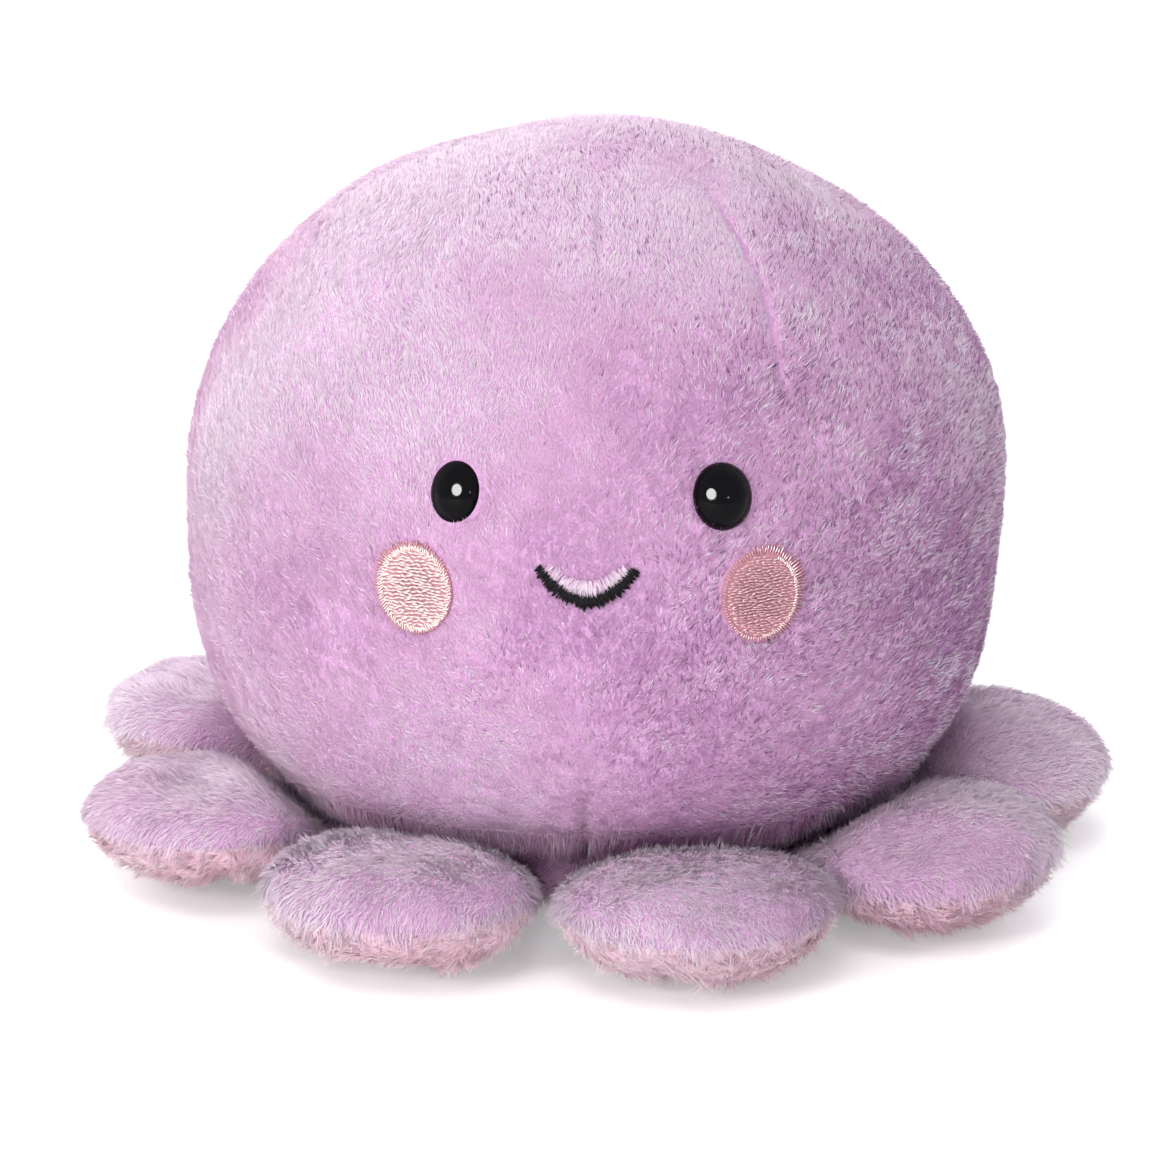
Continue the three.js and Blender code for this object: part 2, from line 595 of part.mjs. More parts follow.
function addLegs() {
  LEG_AZIMUTHS.forEach((azimuth, i) => {
    const leg = new THREE.Group();
    leg.rotation.z = azimuth;
    addPiece(leg, `leg_${i + 1}_top`, legFabric(1, LEG_TWISTS[i]), plush);
    addPiece(leg, `leg_${i + 1}_underside`, legFabric(-1, LEG_TWISTS[i]), pinkPlush);
    addPiece(leg, `leg_${i + 1}_stuffing`, legStuffing(LEG_TWISTS[i]), fibre);
    toy.add(leg);
  });
}

addHeadCover();
addBasePanel();
addBeanPouch();
addHeadStuffing();
addEyes();
addCheeks();
addPiece(toy, 'mouth_stitching', smile(MOUTH_STITCH, 1), blackThread);
addLegs();

export default toy;
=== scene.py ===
# A palm-sized plush octopus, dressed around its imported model: a darted head cover and eight padded
# legs under a combed pile, with domed eyes, embroidered cheeks and a stitched smile.
# Metres, +Z up, the face looks along -Y, and the origin is the middle of the base.
import json
import math

import bmesh
import bpy
import numpy as np
from bpy.props import FloatProperty, FloatVectorProperty, IntProperty, PointerProperty
from mathutils import Matrix, Vector

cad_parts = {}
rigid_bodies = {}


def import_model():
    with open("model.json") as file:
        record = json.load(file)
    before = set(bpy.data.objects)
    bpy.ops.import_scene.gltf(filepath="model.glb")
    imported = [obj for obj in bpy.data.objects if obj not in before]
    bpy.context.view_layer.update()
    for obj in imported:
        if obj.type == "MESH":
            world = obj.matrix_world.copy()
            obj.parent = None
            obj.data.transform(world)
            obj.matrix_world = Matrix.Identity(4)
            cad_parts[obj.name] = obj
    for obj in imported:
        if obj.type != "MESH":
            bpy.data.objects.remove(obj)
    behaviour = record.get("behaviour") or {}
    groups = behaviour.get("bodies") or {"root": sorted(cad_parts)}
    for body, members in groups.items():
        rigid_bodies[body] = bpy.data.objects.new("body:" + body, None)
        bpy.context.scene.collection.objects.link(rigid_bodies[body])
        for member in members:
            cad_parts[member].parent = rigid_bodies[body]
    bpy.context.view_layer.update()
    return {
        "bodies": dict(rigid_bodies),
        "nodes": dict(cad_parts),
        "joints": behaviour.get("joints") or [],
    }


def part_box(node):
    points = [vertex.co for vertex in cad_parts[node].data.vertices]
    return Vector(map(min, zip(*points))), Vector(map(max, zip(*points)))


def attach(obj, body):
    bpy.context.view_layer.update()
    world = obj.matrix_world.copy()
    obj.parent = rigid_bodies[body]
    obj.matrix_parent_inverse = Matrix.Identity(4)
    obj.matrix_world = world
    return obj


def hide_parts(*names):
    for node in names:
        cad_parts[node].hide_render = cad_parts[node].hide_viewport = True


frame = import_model()

bl_info = {
    "name": "Plush Octopus",
    "version": (1, 0, 0),
    "blender": (4, 5, 0),
    "location": "View3D > Sidebar > Octopus",
    "description": "Dresses the packed octopus in pile, stitching and glossy eyes",
    "category": "Add Mesh",
}

SIDES = (("left", 1), ("right", -1))
PANELS = (("front", -1), ("back", 1))
SKIN_MAP = "OFBake"  # u picks a fibre's shade, v runs from its root to its tip
# A bright strand's pale tone is a painted highlight.
STRAND = 0.9  # a fibre of a higher shade is a bright strand that stands proud of the rest
# Places on the head where the pile is painted paler or deeper: azimuth in degrees, height, radius,
# change.
# The pale ones high and low on the toy's right and the one on the crown are painted light, the deep one
# low on its left is painted shade, and the rest are paler or deeper patches of pile.
LIT_AND_BRUSHED_PATCHES = (
    (-52, 0.078, 0.022, 0.36),
    (-20, 0.096, 0.034, 0.5),
    (-62, 0.06, 0.014, 0.12),
    (-30, 0.022, 0.02, 0.2),
    (48, 0.024, 0.02, -0.25),
    (52, 0.062, 0.008, -0.3),
    (30, 0.084, 0.012, -0.12),
)
FLOOR_CLEARANCE = 0.0001  # no fibre reaches lower than this
EYE_CLEARANCE = 0.0002  # between an eye's dome and the fibres that hang over it
HEM_MARGIN = 0.002  # from the hem's opening to the first fibres
HANG_FROM, HANG_OVER = 0.0065, 0.004  # above the hem: where the head's pile turns down, and its span
RIM_FROM, RIM_OVER = 0.0035, 0.003  # above a leg's seam: where its pile turns down, and its span
TIP_KINK, CRUSHED_KINK = 0.00016, 0.0004  # how far a tip strays, and how much more under the legs
TUFT_WIDTHS = (0.7, 1.15)  # narrowest and broadest tuft, over the pile's thickness
FRINGE_BREADTH, BASE_BREADTH = 1.6, 1.5  # how much broader tufts are over the smile and under the base
BASE_LEAN = math.radians(68)  # slant of the flattened pile under the base
LEG_PUFF = 0.0004  # unevenness of a leg's cloth
BASE_TUCK = 0.0003  # from the base panel's rim up to the hem
FILLING_LUMP, FILLING_GAP = 0.00025, 0.0003  # a filling's unevenness, and its gap to the cloth
FACE_REACH, FACE_DEPTH = 0.02, 0.01  # the pile this near an eye or a cheek is parted round it
DEEPEST, PALEST = 0.25, 0.88  # shades of the common fibres, between the dark gaps and the strands
EYE_PARTING, CHEEK_PARTING = 1, 0.96  # share of an eye or a cheek inside which no fibre stands
WHITE = (1, 1, 1)
# The soft lamps: name, azimuth and elevation in degrees, distance, width, power, colour
LAMPS = (
    ("key", -38, 24, 1.3, 0.3, 4.6, (1, 0.985, 0.97)),
    ("low fill", -12, 4, 1.3, 0.6, 2.3, WHITE),
    ("top", -15, 62, 1.1, 0.7, 4, WHITE),
    ("rim left", -135, 25, 1.3, 0.9, 9, WHITE),
    ("rim right", 135, 30, 1.3, 0.9, 4, (0.85, 0.92, 1)),
    ("rim top", 180, 55, 1.3, 0.9, 6, WHITE),
)
# The two lamps that the eyes mirror. The first one is an oval, and lights nothing else.
CATCHLIGHT = ("catchlight", -19, 22, 1.1, 0.74, 130, WHITE, 0.58)
SPARK = ("spark", 40, 12, 1.1, 0.07, 0.8, WHITE)


def length(name, description, default):
    return FloatProperty(name=name, description=description, default=default, unit="LENGTH", precision=5)


def angle(name, description, degrees):
    return FloatProperty(
        name=name, description=description, default=math.radians(degrees), unit="ROTATION"
    )


def share(name, description, default):
    return FloatProperty(name=name, description=description, default=default)


def whole(name, description, default):
    return IntProperty(name=name, description=description, default=default)


def pair(name, description, left, right, unit="NONE"):
    """A value for the toy's left side and one for its right. Angles are given in degrees."""
    values = [math.radians(value) if unit == "ROTATION" else value for value in (left, right)]
    return FloatVectorProperty(
        name=name, description=description, size=2, default=values, unit=unit, precision=5
    )


def colour(name, description, default):
    return FloatVectorProperty(
        name=name, description=description, default=default, subtype="COLOR", size=3, min=0, max=1
    )


class OctopusHead(bpy.types.PropertyGroup):
    """The stuffed head and its cover, measured over the pile."""

    radius: length("Radius", "Head's radius at its widest level", 0.055)
    widest: length("Widest level", "Height of the widest level above the base", 0.053)
    crown_rise: length("Crown rise", "From the widest level to the crown", 0.046)
    under_drop: length("Under drop", "Semi-axis of the lower half, which the hem cuts short", 0.0486)
    crown_fullness: share("Crown fullness", "2 is an ellipse, more is squarer", 1.9)
    under_fullness: share("Under fullness", "2 is an ellipse, more is squarer", 3.4)
    hem_height: length("Hem height", "Where the cover turns in under the head", 0.0109)
    hem_radius: length("Hem radius", "Of the opening that the base panel closes", 0.0346)
    base_radius: length("Base radius", "Over the base panel's rounded rim", 0.03758)
    base_flat: length("Base flat", "Radius of the part that the toy stands on", 0.02998)
    cloth: length("Cloth", "Thickness of the knitted backing", 0.0009)
    dart_depth: length("Dart depth", "How far a dart's seam draws the cloth in", 0.0009)
    dart_width: length("Dart width", "Half-width of a dart's crease", 0.0007)
    dart_valley: length("Dart valley", "Half-width of the shallow valley beside the crease", 0.0042)
    side_dart: angle("Side dart", "Azimuth of the darts beside the middle one", 33.9)
    side_dart_end: angle("Side dart end", "Latitude at which the side darts run out", 19)
    centre_dart_end: angle("Centre dart end", "Latitude at which the middle dart runs out", 41)
    hem_dart_end: angle("Hem dart end", "Latitude at which the dart from the hem runs out", -27)
    seam_depth: length("Seam depth", "How far the side seams draw the cloth in", 0.0006)
    swell: length("Swell", "Height of the soft unevenness in the stuffing", 0.0002)
    shoulder: length("Shoulder", "How much fuller the filling is high on one side", 0.0008)
    dimple: length("Dimple", "How far an eye's washer draws the cloth in", 0.0007)
    rows: whole("Rows", "Of cloth, from the crown to the hem", 108)
    tuck_rows: whole("Tuck rows", "Of cloth turned in under the hem", 4)
    columns: whole("Columns", "Of cloth across half the head", 220)
    base_rows: whole("Base rows", "Of cloth from the base panel's middle to its rim", 20)
    base_columns: whole("Base columns", "Of cloth round the base panel", 96)


class OctopusLegs(bpy.types.PropertyGroup):
    """One padded leg. It is laid out along -Y from its sewn root, and turned to its place."""

    length: length("Length", "From the root's end to the tip", 0.0342)
    half_width: length("Half-width", "At the widest place", 0.01858)
    widest_at: length("Widest at", "From the root's end", 0.017)
    root_half_width: length("Root half-width", "Of the end that is sewn into the hem", 0.01239)
    root_radius: length("Root radius", "Of the round root", 0.0035)
    root_height: length("Root height", "Of the root's axis, which the leg turns on", 0.0062)
    root_start: length("Root start", "From the head's axis to the root's end", 0.037191)
    swell_end: length("Swell end", "Where the leg is at its full depth", 0.015)
    seam_height: length("Seam height", "Of the seam between top and underside", 0.0092)
    top_rise: length("Top rise", "From that seam to the top", 0.007)
    under_depth: length("Under depth", "From that seam to the lowest point", 0.0086)
    tip_round: length("Tip round", "Length over which the depth closes at the tip", 0.013)
    fullness: share("Fullness", "2 is an elliptical section, more is squarer", 2.3)
    twists: FloatVectorProperty(
        name="Twists",
        description="How each leg lies turned about its own length",
        size=8,
        unit="ROTATION",
        default=[math.radians(a) for a in (0, 3, 3, 2, -2, 3, 5, 2)],
    )
    rows: whole("Rows", "Of cloth along a leg", 36)
    columns: whole("Columns", "Of cloth across one side of a leg", 32)


class OctopusPile(bpy.types.PropertyGroup):
    """The combed pile: fibres that leave the cloth at a slant and lie in a common direction."""

    head_depth: length("Head depth", "From the cloth to the pile's envelope on the head", 0.0008)
    leg_depth: length("Leg depth", "From the cloth to the pile's envelope on a leg's top", 0.0007)
    under_depth: length("Under depth", "Of the crushed pile under the legs", 0.0014)
    base_depth: length("Base depth", "Of the flattened pile under the base", 0.0011)
    fibre: length("Fibre", "Length of a fibre on the head", 0.00095)
    thickness: length("Thickness", "Width of a tuft of fibres at its root", 0.00015)
    lean: angle("Lean", "Slant of the pile from upright", 64)
    leg_fibre: length("Leg fibre", "Length of a fibre on a leg's top", 0.0015)
    leg_lean: angle("Leg lean", "Slant of the pile on a leg's top", 63)
    # Painted light: the legs' pile is painted paler, for light that the head keeps off them
    leg_painted_light: share("Leg pale", "How much paler the pile is on the legs", 0.42)
    leg_softness: share("Leg softness", "How much of a leg fibre's shading follows the cloth", 0.93)
    under_fibre: length("Under fibre", "Length of a fibre under the legs", 0.0019)
    under_lean: angle("Under lean", "Slant of the crushed pile under the legs", 64)
    under_locks: angle("Under locks", "How much the crushed pile's locks differ in direction", 24)
    wander: angle("Wander", "How far the nap strays from its direction", 14)
    tousle: angle("Tousle", "How much neighbouring fibres differ in direction", 16)
    front_count: whole("Front count", "Tufts on the front of the head", 165000)
    back_count: whole("Back count", "Tufts on the back of the head", 92000)
    top_count: whole("Top count", "Tufts on a leg's top", 11500)
    under_count: whole("Under count", "Tufts on a leg's underside", 6500)
    base_count: whole("Base count", "Tufts on the base panel", 9000)
    piece_count: whole("Piece count", "Most tufts in one piece", 47000)
    softness: share("Softness", "How much of a smooth pile's shading follows the cloth under it", 0.97)
    ruffled_softness: share("Ruffled softness", "The same where the pile is ruffled", 0.36)
    strand_softness: share("Strand softness", "The same for the bright strands", 0.62)
    strand_lift: angle("Strand lift", "How much more upright the bright strands stand", 16)
    proud: share("Proud", "How much longer the bright strands are", 0.1)
    # Bright strands are painted highlights, and dark fibres are painted shade in the gaps of the pile
    bright: share("Bright", "Share of the fibres that are bright strands", 0.07)
    dark: share("Dark", "Share of the fibres that are dark, as in the gaps of a parted pile", 0.11)
    unevenness: share("Unevenness", "How much neighbouring fibres differ in shade", 0.05)
    seed: whole("Seed", "Start of every random draw", 8)


class OctopusFace(bpy.types.PropertyGroup):
    """Eyes, cheeks and smile."""

    eye_azimuth: angle("Eye azimuth", "From the face's middle", 18.3)
    eye_height: length("Eye height", "Above the base", 0.0626)
    eye_radius: length("Eye radius", "Half of the eye's height", 0.0043)
    eye_widths: pair("Eye widths", "Width over height, left and right", 0.93, 0.86)
    eye_rim: length("Eye rim", "Height of the rim under the dome", 0.0009)
    eye_dome: length("Eye dome", "Rise of the dome above the rim", 0.0032)
    eye_sinks: pair(
        "Eye sinks", "Of each eye's flat back below the pile's envelope", 0.0023, 0.0036, "LENGTH"
    )
    eye_turns: pair(
        "Eye turns", "How far each eye faces outwards from the cloth under it", 14, 27, "ROTATION"
    )
    stem_radius: length("Stem radius", "Of the ribbed stem behind the eye", 0.0016)
    stem_rib: length("Stem rib", "Height of a rib on the stem", 0.00025)
    stem_pitch: length("Stem pitch", "From one rib to the next", 0.0011)
    stem_length: length("Stem length", "From the eye's back to the washer's far face", 0.0043)
    cheek_azimuth: angle("Cheek azimuth", "From the face's middle", 23.4)
    cheek_height: length("Cheek height", "Above the base", 0.04966)
    cheek_radius: length("Cheek radius", "Over the satin border", 0.0059)
    cheek_tall: share("Cheek height share", "Height over width", 1.12)
    cheek_sinks: pair(
        "Cheek sinks", "Of each embroidery's foot below the pile's envelope", 0.0013, 0.0017, "LENGTH"
    )
    border_width: length("Border width", "Of the satin border", 0.00125)
    thread: length("Thread", "Width of an embroidery thread", 0.0004)
    cheek_pad: length("Cheek pad", "Thickness of the pad under the cheek's stitches", 0.0011)
    cheek_crown: length("Cheek crown", "How much the embroidery rises towards its middle", 0.0003)
    row_pitches: pair(
        "Row pitches", "From one row of each cheek's stitches to the next", 0.00037, 0.00043, "LENGTH"
    )
    stitch_length: length("Stitch length", "Of a stitch in the cheek's rows", 0.00085)
    border_stitches: whole("Border stitches", "Round a cheek", 92)
    ring_stitches: whole("Ring stitches", "Inside a cheek's border", 96)
    ring_widths: pair(
        "Ring widths", "Length of the stitches in each cheek's outline", 0.0006, 0.001, "LENGTH"
    )
    mouth_height: length("Mouth height", "Of the smile's lowest point", 0.049)
    mouth_half_width: length("Mouth half-width", "From the middle to a corner", 0.0062)
    mouth_rise: length("Mouth rise", "From the lowest point to the corners", 0.0041)
    mouth_stroke: length("Mouth stroke", "Width of the satin stroke", 0.0018)
    mouth_stitches: whole("Mouth stitches", "Across the smile", 86)
    mouth_sink: length("Mouth sink", "Of the stroke's middle below the envelope", 0.0002)
    # Painted light: the pile over the smile is painted pale, as lit
    fringe: length("Fringe", "Length of the pale pile that hangs over the smile", 0.0013)
    fringe_count: whole("Fringe count", "Fibres in that pile", 320)
    fringe_sink: length("Fringe sink", "Of that pile's roots below the envelope", 0.0003)
    eye_overhangs: pair(
        "Eye overhangs", "How far the pile reaches over the left and the right eye's rim", 0.25, 0.5
    )
    cheek_overhang: share("Cheek overhang", "How far the pile reaches over a cheek's border", 0.1)


class OctopusFilling(bpy.types.PropertyGroup):
    """What the bean pouch holds."""

    pellet: length("Pellet", "Radius of a pellet", 0.0015)
    pellet_count: whole("Pellet count", "Pellets in the pouch", 700)


class OctopusColours(bpy.types.PropertyGroup):
    """Colours, as linear values."""

    lilac_root: colour("Lilac root", "Pile near the cloth", (0.55, 0.26, 0.54))
    lilac_tip: colour("Lilac tip", "Pile at its tips", (0.83, 0.52, 0.75))
    lilac_pale: colour("Lilac pale", "Tips that catch the light", (1, 0.91, 1))
    pink_root: colour("Pink root", "Underside pile near the cloth", (0.82, 0.5, 0.6))
    pink_tip: colour("Pink tip", "Underside pile at its tips", (1, 0.76, 0.85))
    pink_pale: colour("Pink pale", "Underside tips that catch the light", (1, 0.93, 0.95))
    # Painted shade: the cheek thread's tone in its hollows
    cheek_hollow_shade: colour("Cheek deep", "Cheek thread in its hollows", (0.5, 0.22, 0.25))
    cheek_pale: colour("Cheek pale", "Cheek thread at its crests", (0.84, 0.63, 0.6))
    # Painted shade: the left cheek's thread is painted deeper, as it lies away from the light
    cheek_left_shaded: colour(
        "Cheek left", "The same on the toy's left cheek, which is deeper", (0.62, 0.35, 0.4)
    )
    cheek_border: colour("Cheek border", "Border thread at its crests", (0.66, 0.29, 0.38))
    cheek_ring: colour("Cheek ring", "The outline thread inside the border", (0.87, 0.75, 0.69))
    # Painted shade: the pad is painted deep, as the shade seen between the stitches
    cheek_ground: colour("Cheek ground", "Under the cheek's stitches", (0.45, 0.16, 0.22))
    black: colour("Black", "Eyes and smile", (0.003, 0.0025, 0.0035))
    white: colour("White", "Filling, pouch and pellets", (0.86, 0.84, 0.8))
    floor: colour("Floor", "Floor", (0.93, 0.93, 0.93))


class OctopusStudio(bpy.types.PropertyGroup):
    """Camera and lamps."""

    elevation: angle("Elevation", "Of the camera above the head's widest level", 16)
    azimuth: angle("Azimuth", "Of the camera from the face's middle, towards +X", 0.8)
    distance: length("Distance", "From the camera to the head's middle", 0.7)
    roll: angle("Roll", "Of the camera about its own axis", 0.7)
    aim_below: length("Aim below", "How far under the head's middle the camera points", 0.01667)
    aim_left: length("Aim left", "How far left of the head's middle the camera points", 0.00174)
    view_angle: angle("View angle", "Across the frame", 12.67)
    world: share("World", "Brightness of the light from all round", 0.43)
    floor_size: length("Floor size", "From the floor's middle to its edge", 1.0)
    floor_lift: share("Floor lift", "Brightness that the floor adds where it is seen directly", 0.3)


# Shared helpers


def settings():
    return bpy.context.scene.octopus


def smooth(x):
    x = np.clip(x, 0, 1)
    return x * x * (3 - 2 * x)


def quarter_round(x):
    return np.sqrt(np.clip(1 - np.clip(x, 0, 1) ** 2, 0, None))


def lerp(a, b, t):
    return a + (b - a) * t


def unit(vectors):
    return vectors / np.maximum(np.linalg.norm(vectors, axis=-1, keepdims=True), 1e-12)


def laid(grain, normals):
    """A direction, pressed flat onto the cloth."""
    return unit(grain - normals * (grain * normals).sum(-1, keepdims=True))


def direction(azimuth, elevation=0.0):
    """Away from the toy's axis, at an azimuth from the face's middle towards +X."""
    level = math.cos(elevation)
    return math.sin(azimuth) * level, -math.cos(azimuth) * level, math.sin(elevation)


def ripple(points, wavelength, seed):
    """A smooth random value for each point, about as often above zero as below it."""
    rng = np.random.default_rng(seed)
    waves = unit(rng.normal(size=(18, 3))) * rng.uniform(0.6, 1.5, (18, 1)) * math.tau / wavelength
    return np.sin(points @ waves.T + rng.uniform(0, math.tau, 18)).sum(1) / 3


def ripple_vector(points, wavelength, seed):
    return np.stack([ripple(points, wavelength, (seed, axis)) for axis in range(3)], -1)


def finish_piece(name, bm, material, body, nodes=(), smooth_shaded=True):
    """Makes the piece's object, at the origin, parents it to its body and hides the imported parts that
    it stands for.
    """
    mesh = bpy.data.meshes.new(name)
    bm.to_mesh(mesh)
    bm.free()
    return place_mesh(name, mesh, material, body, nodes, smooth_shaded)


def place_mesh(name, mesh, material, body, nodes=(), smooth_shaded=True):
    mesh.materials.append(material)
    if smooth_shaded:
        mesh.shade_smooth()
    piece = bpy.data.objects.new(name, mesh)
    bpy.context.collection.objects.link(piece)
    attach(piece, body)
    if nodes:
        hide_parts(*nodes)
    return piece


# Materials


def feed(tree, node, inputs):
    """Gives each named input its value, or the output that it reads."""
    for key, value in inputs.items():
        if isinstance(value, bpy.types.NodeSocket):
            tree.links.new(value, node.inputs[key])
        else:
            node.inputs[key].default_value = value


def add_node(tree, kind, inputs=None, **options):
    node = tree.nodes.new(f"ShaderNode{kind}")
    for key, value in options.items():
        setattr(node, key, value)
    feed(tree, node, inputs or {})
    return node


def new_material(name, base, roughness, sheen=0.0, sheen_roughness=0.5, specular=0.5):
    """A Principled material. Returns it with its node tree and its shader."""
    material = bpy.data.materials.new(name)
    material.use_nodes = True
    tree = material.node_tree
    shader = tree.nodes["Principled BSDF"]
    look = {"Base Color": (*base, 1), "Roughness": roughness, "Specular IOR Level": specular}
    feed(tree, shader, look | {"Sheen Weight": sheen, "Sheen Roughness": sheen_roughness})
    return material, tree, shader


def ramp(tree, value, stops):
    """Colours along a value from 0 to 1."""
    node = add_node(tree, "ValToRGB", {"Fac": value})
    elements = node.color_ramp.elements
    while len(elements) < len(stops):
        elements.new(0.5)
    for element, (place, tone) in zip(elements, stops):
        element.position, element.color = place, (*tone, 1)
    return node.outputs["Color"]


def noise(tree, scale, detail):
    """Fine unevenness in the piece's own space."""
    place = add_node(tree, "TexCoord").outputs["Object"]
    return add_node(tree, "TexNoise", {"Vector": place, "Scale": scale, "Detail": detail}).outputs["Fac"]


def grained_material(name, look, scale, detail, stops, strength, depth):
    """A Principled material whose colour and surface both follow one fine noise."""
    material, tree, shader = new_material(name, *look)
    grain = noise(tree, scale, detail)
    surface = add_node(tree, "Bump", {"Height": grain, "Strength": strength, "Distance": depth})
    feed(tree, shader, {"Base Color": ramp(tree, grain, stops), "Normal": surface.outputs["Normal"]})
    return material


def pile_material(name, root, tip, pale):
    """Each fibre has one tone, which its shade picks, and is a little darker at its root, which is
    painted shade deep in the pile.
    """
    material, tree, shader = new_material(name, tip, 0.8, 0.1, 0.5, 0.0)
    layout = add_node(tree, "UVMap", uv_map=SKIN_MAP)
    split = add_node(tree, "SeparateXYZ", {"Vector": layout.outputs["UV"]})
    root, tip, pale = (np.array(tone) for tone in (root, tip, pale))
    # The darkest stop is painted shade for the dark fibres, and the palest is painted highlight for the
    # bright strands
    stops = ((0.08, 0.52 * root), (0.2, root), (0.5, tip), (0.88, lerp(tip, pale, 0.7)), (0.94, pale))
    tone = ramp(tree, split.outputs["X"], stops)
    # Painted shade: darker towards the root
    depth = ramp(tree, split.outputs["Y"], ((0, (0.75, 0.66, 0.74)), (0.45, (1, 1, 1))))
    both = add_node(
        tree, "Mix", {"Factor": 1.0, "A": tone, "B": depth}, data_type="RGBA", blend_type="MULTIPLY"
    )
    feed(tree, shader, {"Base Color": both.outputs["Result"], "Sheen Tint": (1, 0.93, 1, 1)})
    return material


def cloth_material(name, root, tip):
    """The pile's dense foot, seen between the fibres."""
    middle = lerp(np.array(root), np.array(tip), 0.5)
    stops = ((0.3, root), (0.7, middle))
    return grained_material(name, (root, 0.95, 0.9, 0.45, 0.2), 2600, 3, stops, 0.6, 0.0004)


def thread_material(name, dark, pale, roughness=0.4, sheen=0.3, specular=0.5):
    """Lustrous embroidery thread, darker in the hollows of its grain as painted shade."""
    look = (pale, roughness, sheen, 0.4, specular)
    return grained_material(name, look, 4200, 2, ((0.32, dark), (0.62, pale)), 0.3, 0.0001)


def eye_material(black):
    """Glossy moulded plastic under a faint haze."""
    material, tree, shader = new_material("eye_gloss", black, 0.06, specular=0.14)
    haze = ramp(tree, noise(tree, 900, 3), ((0.35, (0.05,) * 3), (0.75, (0.11,) * 3)))
    feed(tree, shader, {"IOR": 1.34, "Roughness": haze})
    return material


def plain_material(name, tone, roughness, scale, depth):
    """Soft unevenness over one colour, for fibre, pouch cloth and moulded parts."""
    dark = [0.86 * c for c in tone]
    return grained_material(name, (tone, roughness), scale, 4, ((0.3, dark), (0.7, tone)), 0.5, depth)


# Cloth


def sewn_sheet(rows, columns, surface):
    """A grid of cloth, each corner laid where surface(row share, column share) puts it."""
    bm = bmesh.new()
    bmesh.ops.create_grid(bm, x_segments=columns, y_segments=rows, size=0.5)
    at = np.array([v.co for v in bm.verts])
    places = surface(at[:, 1] + 0.5, at[:, 0] + 0.5)
    for vertex, place in zip(bm.verts, places):
        vertex.co = place
    bmesh.ops.remove_doubles(bm, verts=bm.verts, dist=1e-6)
    bmesh.ops.dissolve_degenerate(bm, dist=1e-7, edges=bm.edges)
    return bm


def face_outwards(bm, inside):
    """Turns every face of an open sheet away from a point inside it."""
    bm.normal_update()
    outward = sum(f.normal.dot(f.calc_center_median() - inside) * f.calc_area() for f in bm.faces)
    if outward < 0:
        bmesh.ops.reverse_faces(bm, faces=bm.faces)


# Pile


def values_of(items, key, width, kind=float):
    """A value of every vertex or triangle of a mesh, as rows."""
    flat = np.empty(len(items) * width, kind)
    items.foreach_get(key, flat)
    return flat.reshape(-1, width)


def scattered(mesh, count, rng):
    """Evenly spread places on a mesh, with their normals."""
    mesh.calc_loop_triangles()
    triangles = values_of(mesh.loop_triangles, "vertices", 3, np.int32)
    corners, normals = values_of(mesh.vertices, "co", 3), values_of(mesh.vertices, "normal", 3)
    a, b, c = (corners[triangles[:, k]] for k in range(3))
    area = np.linalg.norm(np.cross(b - a, c - a), axis=1).cumsum()
    picked = np.searchsorted(area, (np.arange(count) + rng.random(count)) / count * area[-1])
    picked = np.minimum(picked, len(triangles) - 1)
    s, t = np.sqrt(rng.random(count)), rng.random(count)
    weights = np.stack((1 - s, s * (1 - t), s * t), -1)[:, :, None]
    places = (corners[triangles[picked]] * weights).sum(1)
    return places, unit((normals[triangles[picked]] * weights).sum(1))


def fibre_shape():
    """One fibre, from its root at 0 to its tip at 1 along Z, as corners and triangles."""
    bm = bmesh.new()
    raised = Matrix.Translation((0, 0, 0.5))
    bmesh.ops.create_cone(bm, cap_ends=True, segments=3, radius1=0.5, radius2=0, depth=1, matrix=raised)
    bmesh.ops.remove_doubles(bm, verts=bm.verts, dist=1e-5)
    bmesh.ops.triangulate(bm, faces=bm.faces)
    bmesh.ops.recalc_face_normals(bm, faces=bm.faces)
    corners = np.array([v.co for v in bm.verts])
    faces = np.array([[v.index for v in f.verts] for f in bm.faces])
    bm.free()
    return corners, faces


def planted(name, fibres, rng, softness):
    """A mesh of fibres that stand on their roots and reach to their tips."""
    roots, tips, normals, shade, width = fibres
    corners, faces = fibre_shape()
    count, per = len(roots), len(corners)
    along = tips - roots
    across = unit(np.cross(along, unit(rng.normal(size=(count, 3)))))
    other = unit(np.cross(along, across))
    ring = across[:, None] * corners[None, :, :1] + other[:, None] * corners[None, :, 1:2]
    places = roots[:, None] + ring * width[:, None, None] + along[:, None] * corners[None, :, 2:]
    loops = (faces.ravel()[None] + np.arange(count)[:, None] * per).ravel()
    mesh = bpy.data.meshes.new(name)
    mesh.vertices.add(count * per)
    mesh.vertices.foreach_set("co", places.astype(np.float32).ravel())
    mesh.loops.add(len(loops))
    mesh.loops.foreach_set("vertex_index", loops.astype(np.int32))
    mesh.polygons.add(len(loops) // 3)
    mesh.polygons.foreach_set("loop_start", np.arange(0, len(loops), 3, dtype=np.int32))
    u = shade[:, None] + corners[None, :, 0] * 0.01
    v = np.broadcast_to(corners[None, :, 2], u.shape)
    at = np.stack((u, v), -1).reshape(-1, 2)[loops]
    mesh.uv_layers.new(name=SKIN_MAP).data.foreach_set("uv", at.astype(np.float32).ravel())
    mesh.update(calc_edges=True)
    pile = settings().pile
    if softness is None:
        softness = lerp(pile.softness, pile.ruffled_softness, ruffled(roots))
    softness = np.where(shade > STRAND, pile.strand_softness, softness)[:, None, None]
    blended = unit(unit(ring + 1e-9) * (1 - softness) + normals[:, None] * softness)
    mesh.normals_split_custom_set_from_vertices(blended.reshape(-1, 3).astype(np.float32))
    return mesh


